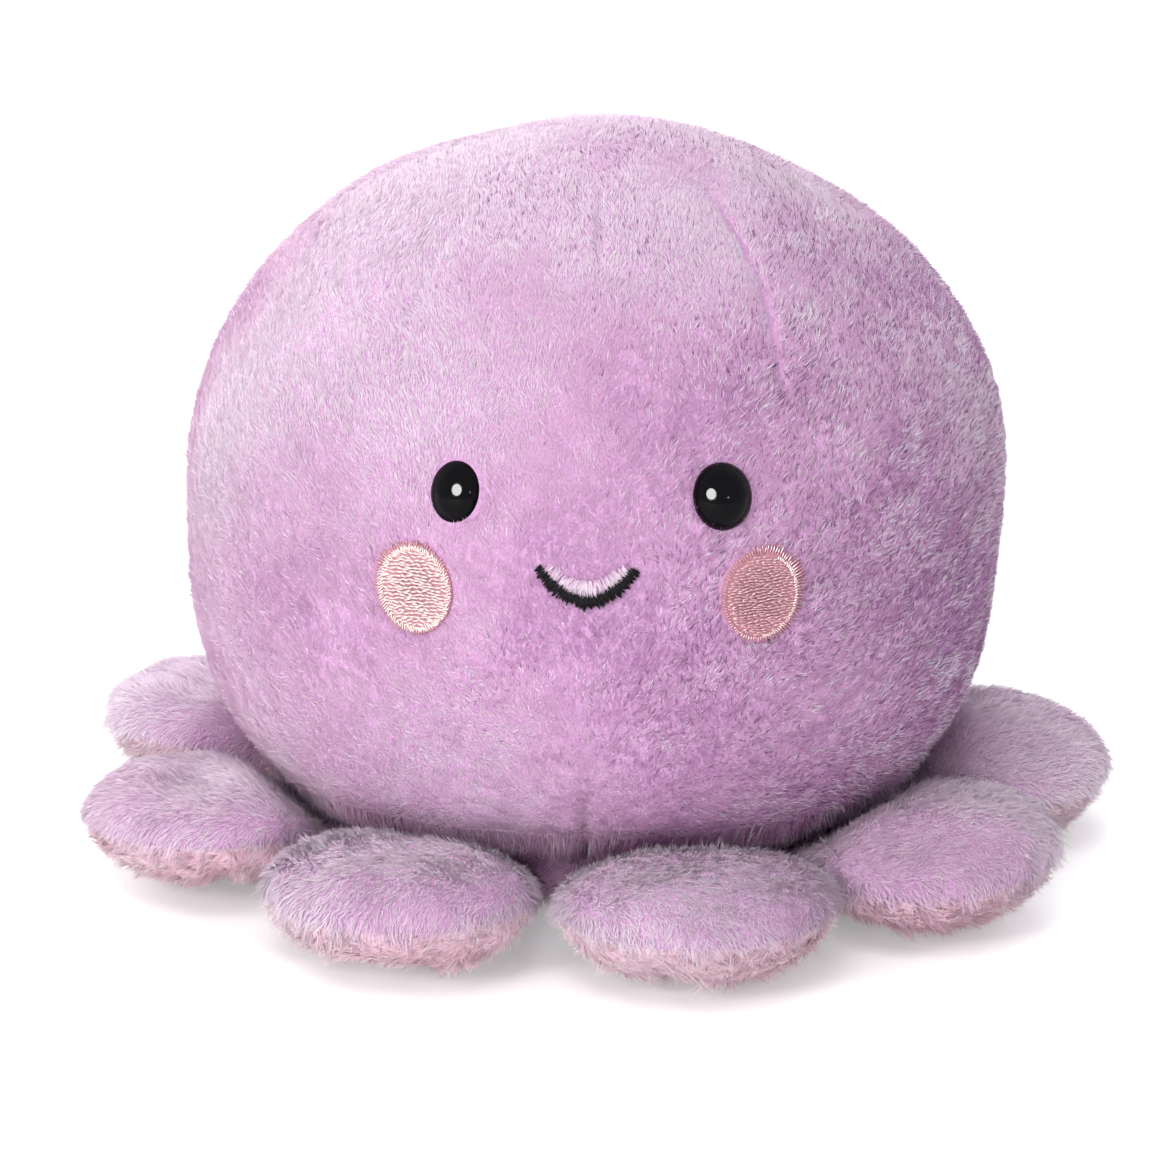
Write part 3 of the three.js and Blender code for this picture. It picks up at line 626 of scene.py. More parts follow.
def plant_pile(name, fibres, width, material, body, softness=None):
    """Splits a pile's roots, tips, normals and shades into pieces of neighbours, and makes each."""
    pile, count = settings().pile, len(width)
    rng = np.random.default_rng(pile.seed + count)
    pieces = math.ceil(count / pile.piece_count)
    for number, part in enumerate(np.array_split(np.arange(count), pieces)):
        label = f"{name}_{number + 1}" if pieces > 1 else name
        mesh = planted(label, [values[part] for values in (*fibres, width)], rng, softness)
        place_mesh(label, mesh, material, body)


# Head


def head_outline(latitude, inset, head):
    above = latitude >= 0
    half_height = np.where(above, head.crown_rise, head.under_drop) - inset
    fullness = np.where(above, head.crown_fullness, head.under_fullness)
    across, rise = np.clip(np.cos(latitude), 0, None), np.sin(latitude)
    reach = (across / (head.radius - inset)) ** fullness + (np.abs(rise) / half_height) ** fullness
    reach = reach ** (-1 / fullness)
    return reach * across, head.widest + reach * rise


def latitude_at(height, inset, head):
    above = height >= head.widest
    half_height = (head.crown_rise if above else head.under_drop) - inset
    fullness = head.crown_fullness if above else head.under_fullness
    rise = abs(height - head.widest) / half_height
    radius = (head.radius - inset) * (1 - rise**fullness) ** (1 / fullness)
    return math.atan2(height - head.widest, radius)


def head_point(latitude, azimuth, inset, head):
    radius, height = head_outline(latitude, inset, head)
    return np.stack((radius * np.sin(azimuth), -radius * np.cos(azimuth), height), -1)


def stand_on_head(azimuth, height, depth):
    """A frame on the head: X level, Y upward and Z outward, this far below the envelope."""
    head = settings().head
    latitude = latitude_at(height, 0, head)
    nudge = math.radians(0.5)
    spots = [
        Vector(head_point(np.array(latitude + step), np.array(azimuth), 0, head))
        for step in (-nudge, 0, nudge)
    ]
    level = Vector((math.cos(azimuth), math.sin(azimuth), 0))
    upward = (spots[2] - spots[0]).normalized()
    normal = level.cross(upward)
    basis = Matrix((level, upward, normal)).transposed().to_4x4()
    return Matrix.Translation(spots[1] - normal * depth) @ basis


def dart_pull(latitude, azimuth, head):
    """How far the darts and the side seams draw the cloth in, as shares of a dart's depth."""
    turned = np.where(np.abs(azimuth) > math.pi / 2, math.pi - np.abs(azimuth), np.abs(azimuth))
    radius = head_outline(latitude, 0, head)[0]

    def crease(at):
        off = np.abs(turned - at) * radius
        sharp, broad = (np.exp(-((off / width) ** 2)) for width in (head.dart_width, head.dart_valley))
        return lerp(broad, sharp, 0.85)

    def fade(start, span):
        return smooth((latitude - start) / span)

    # The side darts slant, and the one on the smooth side is shallow. The middle dart shows on one side.
    side = crease(head.side_dart + 0.25 * (latitude - math.radians(37)))
    side = side * fade(head.side_dart_end, 0.12) * np.where(azimuth < 0, 0.5, 1)
    centre = crease(0.03) * fade(head.centre_dart_end, 0.2) * np.where(azimuth > 0, 0.75, 0)
    hem = crease(0.0) * fade(head.hem_dart_end, -0.25)
    seam = crease(math.pi / 2) * head.seam_depth / head.dart_depth
    crown = smooth((1.25 - latitude) / 0.4)
    return (side + centre + hem + seam) * crown


def in_crease(places, head):
    """Whether a place lies in the bottom of a dart's or a seam's crease."""
    latitude = np.arctan2(places[:, 2] - head.widest, np.hypot(places[:, 0], places[:, 1]))
    pull = dart_pull(latitude, np.arctan2(places[:, 0], -places[:, 1]), head)
    return (pull > 0.7) & (places[:, 2] > head.widest)


def head_cloth(latitude, azimuth, inset, head):
    """The cover's cloth, with its darts and the soft unevenness of the stuffing."""
    bare = head_point(latitude, azimuth, 0, head)
    depth = inset + head.dart_depth * dart_pull(latitude, azimuth, head)
    depth = depth - head.swell * ripple(bare, 0.05, 12)
    high = unit(bare - (0, 0, head.widest)) @ np.array((0.93, 0, 0.37))
    depth = depth - head.shoulder * smooth((high - 0.74) / 0.26)
    for at, half_width, _, _, sink in face_parts():
        if sink is not None:
            off = np.linalg.norm(bare - np.array(at.translation), axis=-1)
            depth = depth + head.dimple * np.exp(-((off / half_width / 1.7) ** 2))
    return head_point(latitude, azimuth, depth, head)


def head_sheet(facing):
    """Half of the head's cover, from the crown to the hem, turned in over the base panel."""
    s = settings()
    head, inset = s.head, s.pile.head_depth
    hem_height, rows = head.hem_height + inset, head.rows + head.tuck_rows
    hem = latitude_at(hem_height, inset, head)

    def surface(row, column):
        down = row * rows
        latitude = lerp(math.pi / 2, hem, np.minimum(1, down / head.rows))
        azimuth = (2 * column - 1) * math.pi / 2 + (0 if facing < 0 else math.pi)
        spots = head_cloth(latitude, np.arctan2(np.sin(azimuth), np.cos(azimuth)), inset, head)
        tucked = spots.copy()
        tucked[:, :2] *= head.hem_radius / np.maximum(np.hypot(spots[:, :1], spots[:, 1:2]), 1e-9)
        tucked[:, 2] = hem_height
        return lerp(spots, tucked, np.clip((down - head.rows) / head.tuck_rows, 0, 1)[:, None])

    bm = sewn_sheet(rows, head.columns, surface)
    face_outwards(bm, Vector((0, 0, head.widest)))
    return bm


def combed(places, normals, nap, shade, fibre, lean, rng, locks=0.1):
    """Tips of the fibres: slanted along the nap, wandering, in locks and of mixed lengths."""
    pile, count = settings().pile, len(places)
    stray = pile.wander * (0.75 * ripple(places, 0.016, 21) + 0.5 * ripple(places, 0.005, 22))
    stray = stray + locks * ripple(places, 0.0022, 27)
    loose = pile.tousle * lerp(0.6, 1.3, ruffled(places))
    stray = (stray + rng.normal(0, 1, count) * loose)[:, None]
    way = nap * np.cos(stray) + np.cross(normals, nap) * np.sin(stray)
    strand = shade > STRAND
    slant = lean + 0.1 * ripple(places, 0.02, 23) + 0.09 * ripple(places, 0.0035, 24)
    slant = (slant - pile.strand_lift * strand + rng.normal(0, 0.5, count) * loose)[:, None]
    reach = 1 + 0.06 * ripple(places, 0.006, 25) + rng.normal(0, 0.07, count)
    reach = (fibre * (reach + pile.proud * strand))[:, None]
    tips = places + (normals * np.cos(slant) + way * np.sin(slant)) * reach
    return tips + ripple_vector(tips, 0.0022, 26) * TIP_KINK


def face_parts():
    """Where the pile is parted. Each is an oval: its frame on the head, its half-width and half-height,
    how far the pile hangs over it, and an eye's sink."""
    face = settings().face
    parts = []
    eyes = zip(SIDES, face.eye_widths, face.eye_overhangs, face.eye_sinks)
    for (_, side), width, overhang, sink in eyes:
        eye = stand_on_head(side * face.eye_azimuth, face.eye_height, 0)
        parts.append((eye, face.eye_radius * width, face.eye_radius, overhang, sink))
        cheek = stand_on_head(side * face.cheek_azimuth, face.cheek_height, 0)
        tall = face.cheek_radius * face.cheek_tall
        parts.append((cheek, face.cheek_radius, tall, face.cheek_overhang, None))
    return parts


def parted(roots, tips, rng):
    """Drops the fibres that stand in the eyes, cheeks or smile, and combs the others off them."""
    face = settings().face
    keep = np.ones(len(roots), bool)
    for at, half_width, half_height, overhang, sink in face_parts():
        inverse = np.array(at.inverted())
        half = np.array((half_width, half_height)) * (CHEEK_PARTING if sink is None else EYE_PARTING)
        root, tip = (places @ inverse[:3, :3].T + inverse[:3, 3] for places in (roots, tips))
        off = np.linalg.norm(root[:, :2], axis=1)
        near = (np.abs(root[:, 2]) < FACE_DEPTH) & (off < FACE_REACH)
        keep &= ~(near & (np.linalg.norm(root[:, :2] / half, axis=1) < 0.97))
        reach = np.linalg.norm(tip[:, :2] / half, axis=1)
        limit = 1.02 - overhang * rng.random(len(roots)) ** 1.5
        inside = near & (reach < limit)
        tip[:, :2] *= np.where(inside, limit / np.maximum(reach, 1e-6), 1)[:, None]
        if sink is not None:
            dome = face.eye_rim + face.eye_dome * quarter_round(limit) - sink
            tip[:, 2] = np.where(inside, np.maximum(tip[:, 2], dome + EYE_CLEARANCE), tip[:, 2])
        moved = (tip - inverse[:3, 3]) @ np.linalg.inv(inverse[:3, :3]).T
        tips = np.where(inside[:, None], moved, tips)
    keep &= np.abs(mouth_offset(roots)) > 0.4 * face.mouth_stroke
    return keep, tips


def mouth_curve(across, face):
    """Height and slope of the smile's middle line, from -1 at one corner to 1 at the other."""
    height = face.mouth_height + face.mouth_stroke / 2 + face.mouth_rise * across**2
    return height, 2 * face.mouth_rise * across / face.mouth_half_width


def on_smile(across, height, depth):
    """A frame on the head, below the envelope, at a share of the smile's half-width."""
    s = settings()
    return stand_on_head(math.asin(across * s.face.mouth_half_width / s.head.radius), height, depth)


def smile_fringe(rng):
    """Fibres from above the smile that hang over its stitches, painted pale as the light on that lip of
    pile.
    """
    face = settings().face
    across = rng.uniform(-0.93, 0.93, face.fringe_count)
    height, slope = mouth_curve(across, face)
    fall = unit(np.stack((slope, 0 * slope, 0 * slope - 1), -1))
    spread = (1 - 0.45 * across**2) * rng.uniform(0.45, 1.2, len(across))
    stitched = [on_smile(a, h, face.fringe_sink) for a, h in zip(across, height)]
    roots = np.array([at.translation for at in stitched])
    roots = roots - fall * (face.mouth_stroke * (0.3 + spread))[:, None]
    normals = np.array([at.col[2].xyz for at in stitched])
    hanging = unit(0.4 * normals + 0.85 * fall + rng.normal(0, 0.12, roots.shape))
    reach = face.fringe * (0.15 + spread) * rng.uniform(0.85, 1.35, len(across))
    # Their pale shades are painted light
    return roots, roots + hanging * reach[:, None], normals, rng.uniform(0.6, 1, len(roots))


def mouth_offset(places):
    """Signed distance above the smile's curve, for places on the face."""
    face = settings().face
    across = places[:, 0] / face.mouth_half_width
    height, slope = mouth_curve(across, face)
    outside = (np.abs(across) > 1.04) | (places[:, 1] > -0.03)
    return np.where(outside, 1.0, (places[:, 2] - height) / np.sqrt(1 + slope**2))


def sew_cover(name, bm, cloth, body, node):
    """Makes a stuffed piece's cover: a sheet with the cloth's thickness."""
    piece = finish_piece(name, bm, cloth, body, [node])
    wall = piece.modifiers.new("cloth", "SOLIDIFY")
    wall.thickness, wall.offset, wall.use_even_offset = settings().head.cloth, -1, False
    return piece


class OCTOPUS_OT_head_cover(bpy.types.Operator):
    """Makes the head's two panels of cloth and the base panel under them"""

    bl_idname = "octopus.head_cover"
    bl_label = "Head Cover"

    def execute(self, context):
        colours = settings().colours
        cloth = cloth_material("lilac_cloth", colours.lilac_root, colours.lilac_tip)
        for name, facing in PANELS:
            sheet = head_sheet(facing)
            node = f"head_{name}_panel"
            sew_cover(f"head_{name}_cover", sheet, cloth, "head", node)
        sew_cover("base_cover", base_sheet(), cloth, "head", "base_panel")
        return {"FINISHED"}


def base_sheet():
    """The base panel: a flat disc whose rounded rim rises into the head's hem."""
    s = settings()
    head, inset = s.head, s.pile.base_depth
    flat, rim = head.base_flat, head.base_radius - inset
    top, flat_rows = head.hem_height - BASE_TUCK, 0.6

    def surface(row, column):
        up = np.clip((row - flat_rows) / (1 - flat_rows), 0, 1) * math.pi / 2
        on_flat = row < flat_rows
        radius = np.where(on_flat, row / flat_rows * flat, flat + (rim - flat) * np.sin(up))
        height = np.where(on_flat, inset, inset + (top - inset) * (1 - np.cos(up)))
        around = column * math.tau
        return np.stack((radius * np.sin(around), -radius * np.cos(around), height), -1)

    bm = sewn_sheet(head.base_rows, head.base_columns, surface)
    face_outwards(bm, Vector((0, 0, head.widest)))
    return bm


class OCTOPUS_OT_head_pile(bpy.types.Operator):
    """Plants the combed pile on the head and on its base"""

    bl_idname = "octopus.head_pile"
    bl_label = "Head Pile"

    def execute(self, context):
        s = settings()
        pile, head, colours = s.pile, s.head, s.colours
        hair = pile_material("lilac_pile", colours.lilac_root, colours.lilac_tip, colours.lilac_pale)
        for name, facing in PANELS:
            rng = np.random.default_rng((pile.seed, facing + 5))
            count = pile.front_count if facing < 0 else pile.back_count
            roots, normals = scattered(bpy.data.objects[f"head_{name}_cover"].data, count, rng)
            outside = np.hypot(roots[:, 0], roots[:, 1]) > head.hem_radius + HEM_MARGIN
            open_air = ((roots[:, 2] > head.widest) | outside) & ~in_crease(roots, head)
            roots, normals = roots[open_air], normals[open_air]
            # The nap runs up the front, over the crown and down the back. Near the hem it hangs
            # down, and is longer, over the gap above the legs.
            low = smooth((head.hem_height + HANG_FROM - roots[:, 2]) / HANG_OVER)
            nap = laid(np.array((0, 0.6, -facing)), normals) * np.where(low[:, None] < 0.5, 1, -1)
            shade = shade_of(roots, rng)
            fibre, lean = pile.fibre * (1 + 1.8 * low), pile.lean - 0.4 * low
            fibres = [roots, combed(roots, normals, nap, shade, fibre, lean, rng), normals, shade]
            broad = np.ones(len(roots))
            if facing < 0:
                keep, fibres[1] = parted(*fibres[:2], rng)
                fringe = smile_fringe(rng)
                fibres = [np.concatenate((values[keep], more)) for values, more in zip(fibres, fringe)]
                broad = np.concatenate((broad[keep], np.full(len(fringe[0]), FRINGE_BREADTH)))
            order = np.argsort(np.arctan2(fibres[0][:, 0], facing * fibres[0][:, 1]))
            width = pile.thickness * rng.uniform(*TUFT_WIDTHS, len(order)) * broad
            fibres = [values[order] for values in fibres]
            plant_pile(f"head_{name}_pile", fibres, width[order], hair, "head")
        rng = np.random.default_rng((pile.seed, 77))
        roots, normals = scattered(bpy.data.objects["base_cover"].data, pile.base_count, rng)
        nap, shade = laid(np.array((0, 1, 0)), normals), shade_of(roots, rng)
        tips = combed(roots, normals, nap, shade, 2 * pile.base_depth, BASE_LEAN, rng)
        tips[:, 2] = np.maximum(tips[:, 2], FLOOR_CLEARANCE)
        width = pile.thickness * BASE_BREADTH * rng.uniform(*TUFT_WIDTHS, len(roots))
        plant_pile("base_pile", (roots, tips, normals, shade), width, hair, "head")
        return {"FINISHED"}


def ruffled(places):
    """1 on the toy's left side and 0 on its right, fading away from the widest level: where the pile is
    drawn ruffled, and where shade_of puts most painted shade in dark gaps and painted highlights in
    bright strands.
    """
    high = -np.abs(places[:, 2] - settings().head.widest) / 0.3
    return smooth(0.46 + places[:, 0] / 0.06 + high + 0.2 * ripple(places, 0.03, 34))


def shade_of(places, rng, ruffle_and_painted_light=None):
    """How pale each fibre is, from 0 to 1: random tone, brushed patches and patches of painted light and
    shade, dark gaps that are painted shade, and bright strands that are painted highlights.
    """
    pile, draw = settings().pile, rng.random(len(places))
    ruffle_and_painted_light = ruffled(places) if ruffle_and_painted_light is None else ruffle_and_painted_light
    tone_and_lit_patches = 0.45 + 0.1 * ripple(places, 0.04, 31) + 0.04 * ripple(places, 0.009, 32)
    # Painted light and shade: the lit patches make the pile paler where light falls and deeper where
    # shade falls
    for azimuth, height, radius, change in LIT_AND_BRUSHED_PATCHES:
        at = stand_on_head(math.radians(azimuth), height, 0).translation
        off = np.linalg.norm(places - np.array(at), axis=1)
        tone_and_lit_patches = tone_and_lit_patches + change * np.exp(-((off / radius) ** 2))
    mixed = tone_and_lit_patches + rng.normal(0, pile.unevenness, len(places)) * (0.4 + 2.5 * ruffle_and_painted_light)
    mixed = np.clip(mixed, DEEPEST, PALEST)
    # Painted shade: dark fibres stand for the shaded gaps between locks, most where the pile is ruffled
    mixed = np.where(draw < pile.dark * (0.03 + 1.9 * ruffle_and_painted_light**2), 0.05, mixed)
    # Painted highlights: bright strands stand for glints on the pile, in clusters, most where it is
    # ruffled
    crowd = (1 + 0.8 * ripple(places, 0.007, 33)) * lerp(0.3, 1.8, ruffle_and_painted_light)
    return np.where(draw > 1 - pile.bright * crowd, 0.96, mixed)


# Legs


def leg_point(along, turn, inset, twist, legs):
    """A point of a leg's surface, laid along -Y. Turn goes round the section over the top."""
    tip_at = legs.length - inset
    s = inset + (tip_at - inset) * (1 - np.cos(along * math.pi)) / 2
    swell = smooth((s - legs.root_radius) / (legs.swell_end - legs.root_radius))
    widening = smooth((s - legs.root_radius) / (legs.widest_at - legs.root_radius))
    root = quarter_round((legs.root_radius - s) / (legs.root_radius - inset))
    tip = quarter_round((s - legs.widest_at) / (tip_at - legs.widest_at))
    deep_until = legs.length - legs.tip_round
    tip_depth = quarter_round((s - deep_until) / (tip_at - deep_until))
    full = np.where(np.sin(turn) >= 0, legs.top_rise, legs.under_depth)
    depth = lerp(legs.root_radius, full, swell) - inset
    root_half_width = legs.root_half_width - legs.root_radius * (1 - root)
    width = lerp(root_half_width, legs.half_width, widening) - inset
    power = 2 / legs.fullness
    across = np.sign(np.cos(turn)) * np.abs(np.cos(turn)) ** power * width * tip
    rise = np.sign(np.sin(turn)) * np.abs(np.sin(turn)) ** power * depth * root * tip_depth
    angle_at = twist * swell
    x = across * np.cos(angle_at) - rise * np.sin(angle_at)
    y = across * np.sin(angle_at) + rise * np.cos(angle_at)
    seam = lerp(legs.root_height, legs.seam_height, swell)
    hem_sag = legs.root_start - np.sqrt(legs.root_start**2 - across**2)
    return np.stack((x, hem_sag * (1 - swell) - legs.root_start - s, seam + y), -1)


def leg_azimuth(number):
    """Where the leg stands, from its joint's axis."""
    joint = next(j for j in frame["joints"] if j["child"] == f"leg_{number}")
    return math.atan2(-joint["axis"][1], -joint["axis"][0])


def leg_sheet(number, side):
    """The top (1) or the underside (-1) of a leg."""
    s = settings()
    legs, pile = s.legs, s.pile
    inset = pile.leg_depth if side > 0 else pile.under_depth
    twist = legs.twists[number - 1]
    turned = np.array(Matrix.Rotation(leg_azimuth(number), 3, "Z"))

    def surface(row, column):
        spots = leg_point(row, side * column * math.pi, inset, twist, legs) @ turned.T
        puff = ripple(spots, 0.014, (41, number)) * LEG_PUFF * np.sin(column * math.pi)
        spots[:, 2] += side * puff
        return spots

    bm = sewn_sheet(legs.rows, legs.columns, surface)
    middle = leg_point(np.array([0.5]), np.array([0.0]), inset, 0, legs)[0] * (0, 1, 1)
    face_outwards(bm, Vector(turned @ middle) - Vector((0, 0, side * 0.004)))
    return bm


class OCTOPUS_OT_legs(bpy.types.Operator):
    """Makes the eight padded legs: cloth and pile"""

    bl_idname = "octopus.legs"
    bl_label = "Legs"

    def execute(self, context):
        s = settings()
        pile, colours, legs = s.pile, s.colours, s.legs
        lilac = [bpy.data.materials[name] for name in ("lilac_cloth", "lilac_pile")]
        pink = [
            cloth_material("pink_cloth", colours.pink_root, colours.pink_tip),
            pile_material("pink_pile", colours.pink_root, colours.pink_tip, colours.pink_pale),
        ]
        for number in range(1, len(legs.twists) + 1):
            body = f"leg_{number}"
            outward = np.array(direction(leg_azimuth(number)))
            for name, side, (cloth, hair), slot in (
                ("top", 1, lilac, "lilac_plush"),
                ("underside", -1, pink, "pink_plush"),
            ):
                sheet, node = leg_sheet(number, side), f"{body}_{name}"
                cover = sew_cover(f"{node}_cover", sheet, cloth, body, node)
                rng = np.random.default_rng((pile.seed, number, side + 3))
                count = pile.top_count if side > 0 else pile.under_count
                roots, normals = scattered(cover.data, count, rng)
                # The pile points outwards, and hangs down over the seam round the top
                rim = smooth((legs.seam_height + RIM_FROM - roots[:, 2]) / RIM_OVER) * (side > 0)
                nap = laid(outward + np.array((0, 0, -1)) * (0.35 + 0.9 * rim[:, None]), normals)
                if side > 0:
                    shade = shade_of(roots, rng, 0.15)
                    # Painted light: the common fibres on a leg's top are painted paler
                    shade = np.where(shade > STRAND, shade, np.minimum(shade + pile.leg_painted_light, PALEST))
                    longer = rim * (0.25 + 0.35 * ripple(roots, 0.005, (45, number)))
                    fibre = pile.leg_fibre * (1 + longer)
                    tips = combed(roots, normals, nap, shade, fibre, pile.leg_lean, rng)
                else:
                    shade = shade_of(roots, rng, 0.45)
                    fibre, lean, locks = pile.under_fibre, pile.under_lean, pile.under_locks
                    tips = combed(roots, normals, nap, shade, fibre, lean, rng, locks)
                    tips += ripple_vector(roots, 0.004, (43, number)) * CRUSHED_KINK
                    normals = unit(0.35 * normals + outward + (0, 0, 0.35))  # keeps the underside light
                tips[:, 2] = np.maximum(tips[:, 2], FLOOR_CLEARANCE)
                width = pile.thickness * rng.uniform(0.75, 1.2, len(roots))
                fibres = (roots, tips, normals, shade)
                plant_pile(f"{node}_pile", fibres, width, hair, body, pile.leg_softness)
        return {"FINISHED"}


# Face


def stitch(bm, at, size):
    """Adds a stitch with its middle and its turn at a matrix."""
    grown = at @ Matrix.Diagonal((*size, 1))
    bmesh.ops.create_uvsphere(
        bm, u_segments=6, v_segments=4, radius=0.5, matrix=grown @ Matrix.Rotation(math.pi / 2, 4, "Y")
    )


def turned_profile(profile, segments):
    """A closed shape turned about Z from [radius, height] pairs that start and end on the axis."""
    bm = bmesh.new()
    chain = [bm.verts.new((radius, 0, height)) for radius, height in profile]
    edges = [bm.edges.new(pair) for pair in zip(chain, chain[1:])]
    turn = {"cent": (0, 0, 0), "axis": (0, 0, 1), "angle": math.tau, "steps": segments}
    bmesh.ops.spin(bm, geom=chain + edges, use_merge=True, use_duplicate=False, **turn)
    bmesh.ops.remove_doubles(bm, verts=bm.verts, dist=1e-7)
    bmesh.ops.recalc_face_normals(bm, faces=bm.faces)
    return bm


def eye_profile(face):
    """The eye turned about its axis: a ribbed stem behind, a flat back, a thin rim and a dome."""
    radius, end = face.stem_radius, -face.stem_length - 3 * face.stem_pitch
    profile = [(0, end), (radius / 2, end)]
    for number in (2, 1, 0):
        height = -face.stem_length - number * face.stem_pitch
        profile.append((radius, height - face.stem_pitch / 2))
        profile.append((radius + face.stem_rib, height - face.stem_pitch / 4))
        profile.append((radius, height))
    profile += [(radius, 0), (face.eye_radius - face.eye_rim / 2, 0)]
    profile.append((face.eye_radius * 0.985, face.eye_rim * 0.45))
    for t in np.linspace(0, math.pi / 2, 14)[:-1]:
        profile.append((face.eye_radius * math.cos(t), face.eye_rim + face.eye_dome * math.sin(t)))
    return [*profile, (0, face.eye_rim + face.eye_dome)]


class OCTOPUS_OT_eyes(bpy.types.Operator):
    """Makes the domed safety eyes on their ribbed stems"""

    bl_idname = "octopus.eyes"
    bl_label = "Eyes"

    def execute(self, context):
        s = settings()
        face = s.face
        gloss = eye_material(s.colours.black)
        washer = plain_material("washer_moulding", (0.78, 0.76, 0.72), 0.5, 1500.0, 0.00005)
        eyes = zip(SIDES, face.eye_sinks, face.eye_turns, face.eye_widths)
        for (name, side), sink, turn, width in eyes:
            bm = turned_profile(eye_profile(face), 48)
            for vertex in bm.verts:
                if vertex.co.z > -0.0001:
                    vertex.co.x *= width
            at = stand_on_head(side * face.eye_azimuth, face.eye_height, sink)
            bm.transform(at @ Matrix.Rotation(side * turn, 4, "Y"))
            finish_piece(f"eye_{name}_dome", bm, gloss, "head", [f"eye_{name}"])
            frame["nodes"][f"eye_washer_{name}"].data.materials[0] = washer
        return {"FINISHED"}


def on_oval(face, around, radius, rise):
    """A place over the cheek, this far from its middle before the oval is stretched."""
    spot = Matrix.Rotation(around, 4, "Z") @ Matrix.Translation((radius, 0, 0))
    return Matrix.Translation((spot.translation.x, spot.translation.y * face.cheek_tall, rise))


def cheek_ground(face, inner):
    """The pad that the stitches lie on."""
    bm = bmesh.new()
    raised = Matrix.Translation((0, 0, face.cheek_pad / 2))
    bmesh.ops.create_cone(
        bm,
        cap_ends=True,
        segments=48,
        radius1=inner + face.border_width * 0.5,
        radius2=inner + face.border_width * 0.4,
        depth=face.cheek_pad,
        matrix=Matrix.Diagonal((1, face.cheek_tall, 1, 1)) @ raised,
    )
    return bm


def cheek_rows(face, inner, pitch, rng):
    """Rows of flat stitches, in gentle waves."""
    bm = bmesh.new()
    rows, thread = int(2 * inner * face.cheek_tall / pitch), face.thread
    for row in range(rows):
        y = (row + 0.5) / rows * 2 - 1
        half = inner * math.sqrt(max(0, 1 - y * y))
        x = -half - rng.uniform(0, face.stitch_length)
        while x < half:
            reach = face.stitch_length * rng.uniform(0.7, 1.25)
            start, end = max(x, -half), min(x + reach, half)
            x += reach
            if end - start < thread:
                continue
            middle = (start + end) / 2
            crown = 1 - (middle / inner) ** 2 - y * y
            rise = face.cheek_pad + face.cheek_crown * crown + rng.uniform(-0.15, 0.15) * thread
            wave = (0.3 * math.sin(middle / inner * 7 + 9 * y) + rng.normal(0, 0.1)) * pitch
            place = Matrix.Translation((middle, y * inner * face.cheek_tall + wave, rise))
            tilt = Matrix.Rotation(rng.normal(0, 0.2), 4, "Z")
            stitch(bm, place @ tilt, (end - start + thread * 0.5, pitch * 0.68, thread * 1.3))
    return bm


def cheek_border(face, inner, side, rng):
    """Satin stitches that point outwards, longest on the outer side of the face."""
    bm, thread = bmesh.new(), face.thread
    longest, longest_at = (1.25, 0) if side > 0 else (1, math.pi)
    for number in range(face.border_stitches):
        around = number / face.border_stitches * math.tau
        outer = 0.5 + 0.5 * math.cos(around - longest_at - side * 0.4)
        reach = face.border_width * rng.uniform(0.75, 1.25) * lerp(0.5, longest, outer)
        place = on_oval(face, around, inner + reach / 2, face.cheek_pad)
        turn = Matrix.Rotation(around + rng.normal(0, 0.1), 4, "Z")
        stitch(bm, place @ turn, (reach, thread * 0.5, thread * rng.uniform(1.2, 2.2)))
    return bm


def cheek_ring(face, inner, side, reach, rng):
    """The pale outline inside the border. On the left cheek it shows on the outer side only."""
    bm, thread = bmesh.new(), face.thread
    for number in range(face.ring_stitches):
        around = number / face.ring_stitches * math.tau
        if side > 0 and math.cos(around + 0.2) < 0.25:
            continue
        rise = face.cheek_pad + thread * rng.uniform(0.4, 0.8)
        place = on_oval(face, around, inner + thread * 0.2, rise)
        turn = Matrix.Rotation(around + 0.5 + rng.normal(0, 0.25), 4, "Z")
        stitch(bm, place @ turn, (reach * rng.uniform(0.8, 1.2), thread * 0.5, thread * 0.6))
    return bm


class OCTOPUS_OT_cheeks(bpy.types.Operator):
    """Embroiders the cheeks: rows of flat stitches inside a satin border"""

    bl_idname = "octopus.cheeks"
    bl_label = "Cheeks"

    def execute(self, context):
        s = settings()
        face, tones = s.face, s.colours
        deep, inner = np.array(tones.cheek_hollow_shade), face.cheek_radius - face.border_width
        edge = thread_material("cheek_edge_thread", tones.cheek_pale, tones.cheek_ring, 0.35, 0.4)
        border = thread_material("cheek_border_thread", 0.6 * deep, tones.cheek_border)
        # Painted shade: the pad under the stitches is deep, as the shade between them
        ground = plain_material("cheek_ground", tones.cheek_ground, 0.9, 3000.0, 0.0001)
        # Each cheek's thread runs from painted shade in its hollows to its crests. The left cheek's
        # thread and hollows are painted deeper than the right one's, as painted shade on the cheek away
        # from the light.
        hollows = lerp(deep, np.array(tones.cheek_pale), 0.6)
        tints = ((deep, tones.cheek_left_shaded), (hollows, tones.cheek_pale))
        for (name, side), sink, ring_width, pitch, tint in zip(
            SIDES, face.cheek_sinks, face.ring_widths, face.row_pitches, tints
        ):
            thread = thread_material(f"cheek_{name}_thread", *tint, 0.35, 0.4)
            at = stand_on_head(side * face.cheek_azimuth, face.cheek_height, sink)
            rng = np.random.default_rng((s.pile.seed, side + 9))
            for label, bm, material, node in (
                ("ground", cheek_ground(face, inner), ground, "fill"),
                ("fill", cheek_rows(face, inner, pitch, rng), thread, "fill"),
                ("border", cheek_border(face, inner, side, rng), border, "border"),
                ("ring", cheek_ring(face, inner, side, ring_width, rng), edge, "border"),
            ):
                bm.transform(at)
                title, nodes = f"cheek_{name}_{label}", [f"cheek_{node}_{name}"]
                finish_piece(title, bm, material, "head", nodes, label != "ground")
        return {"FINISHED"}


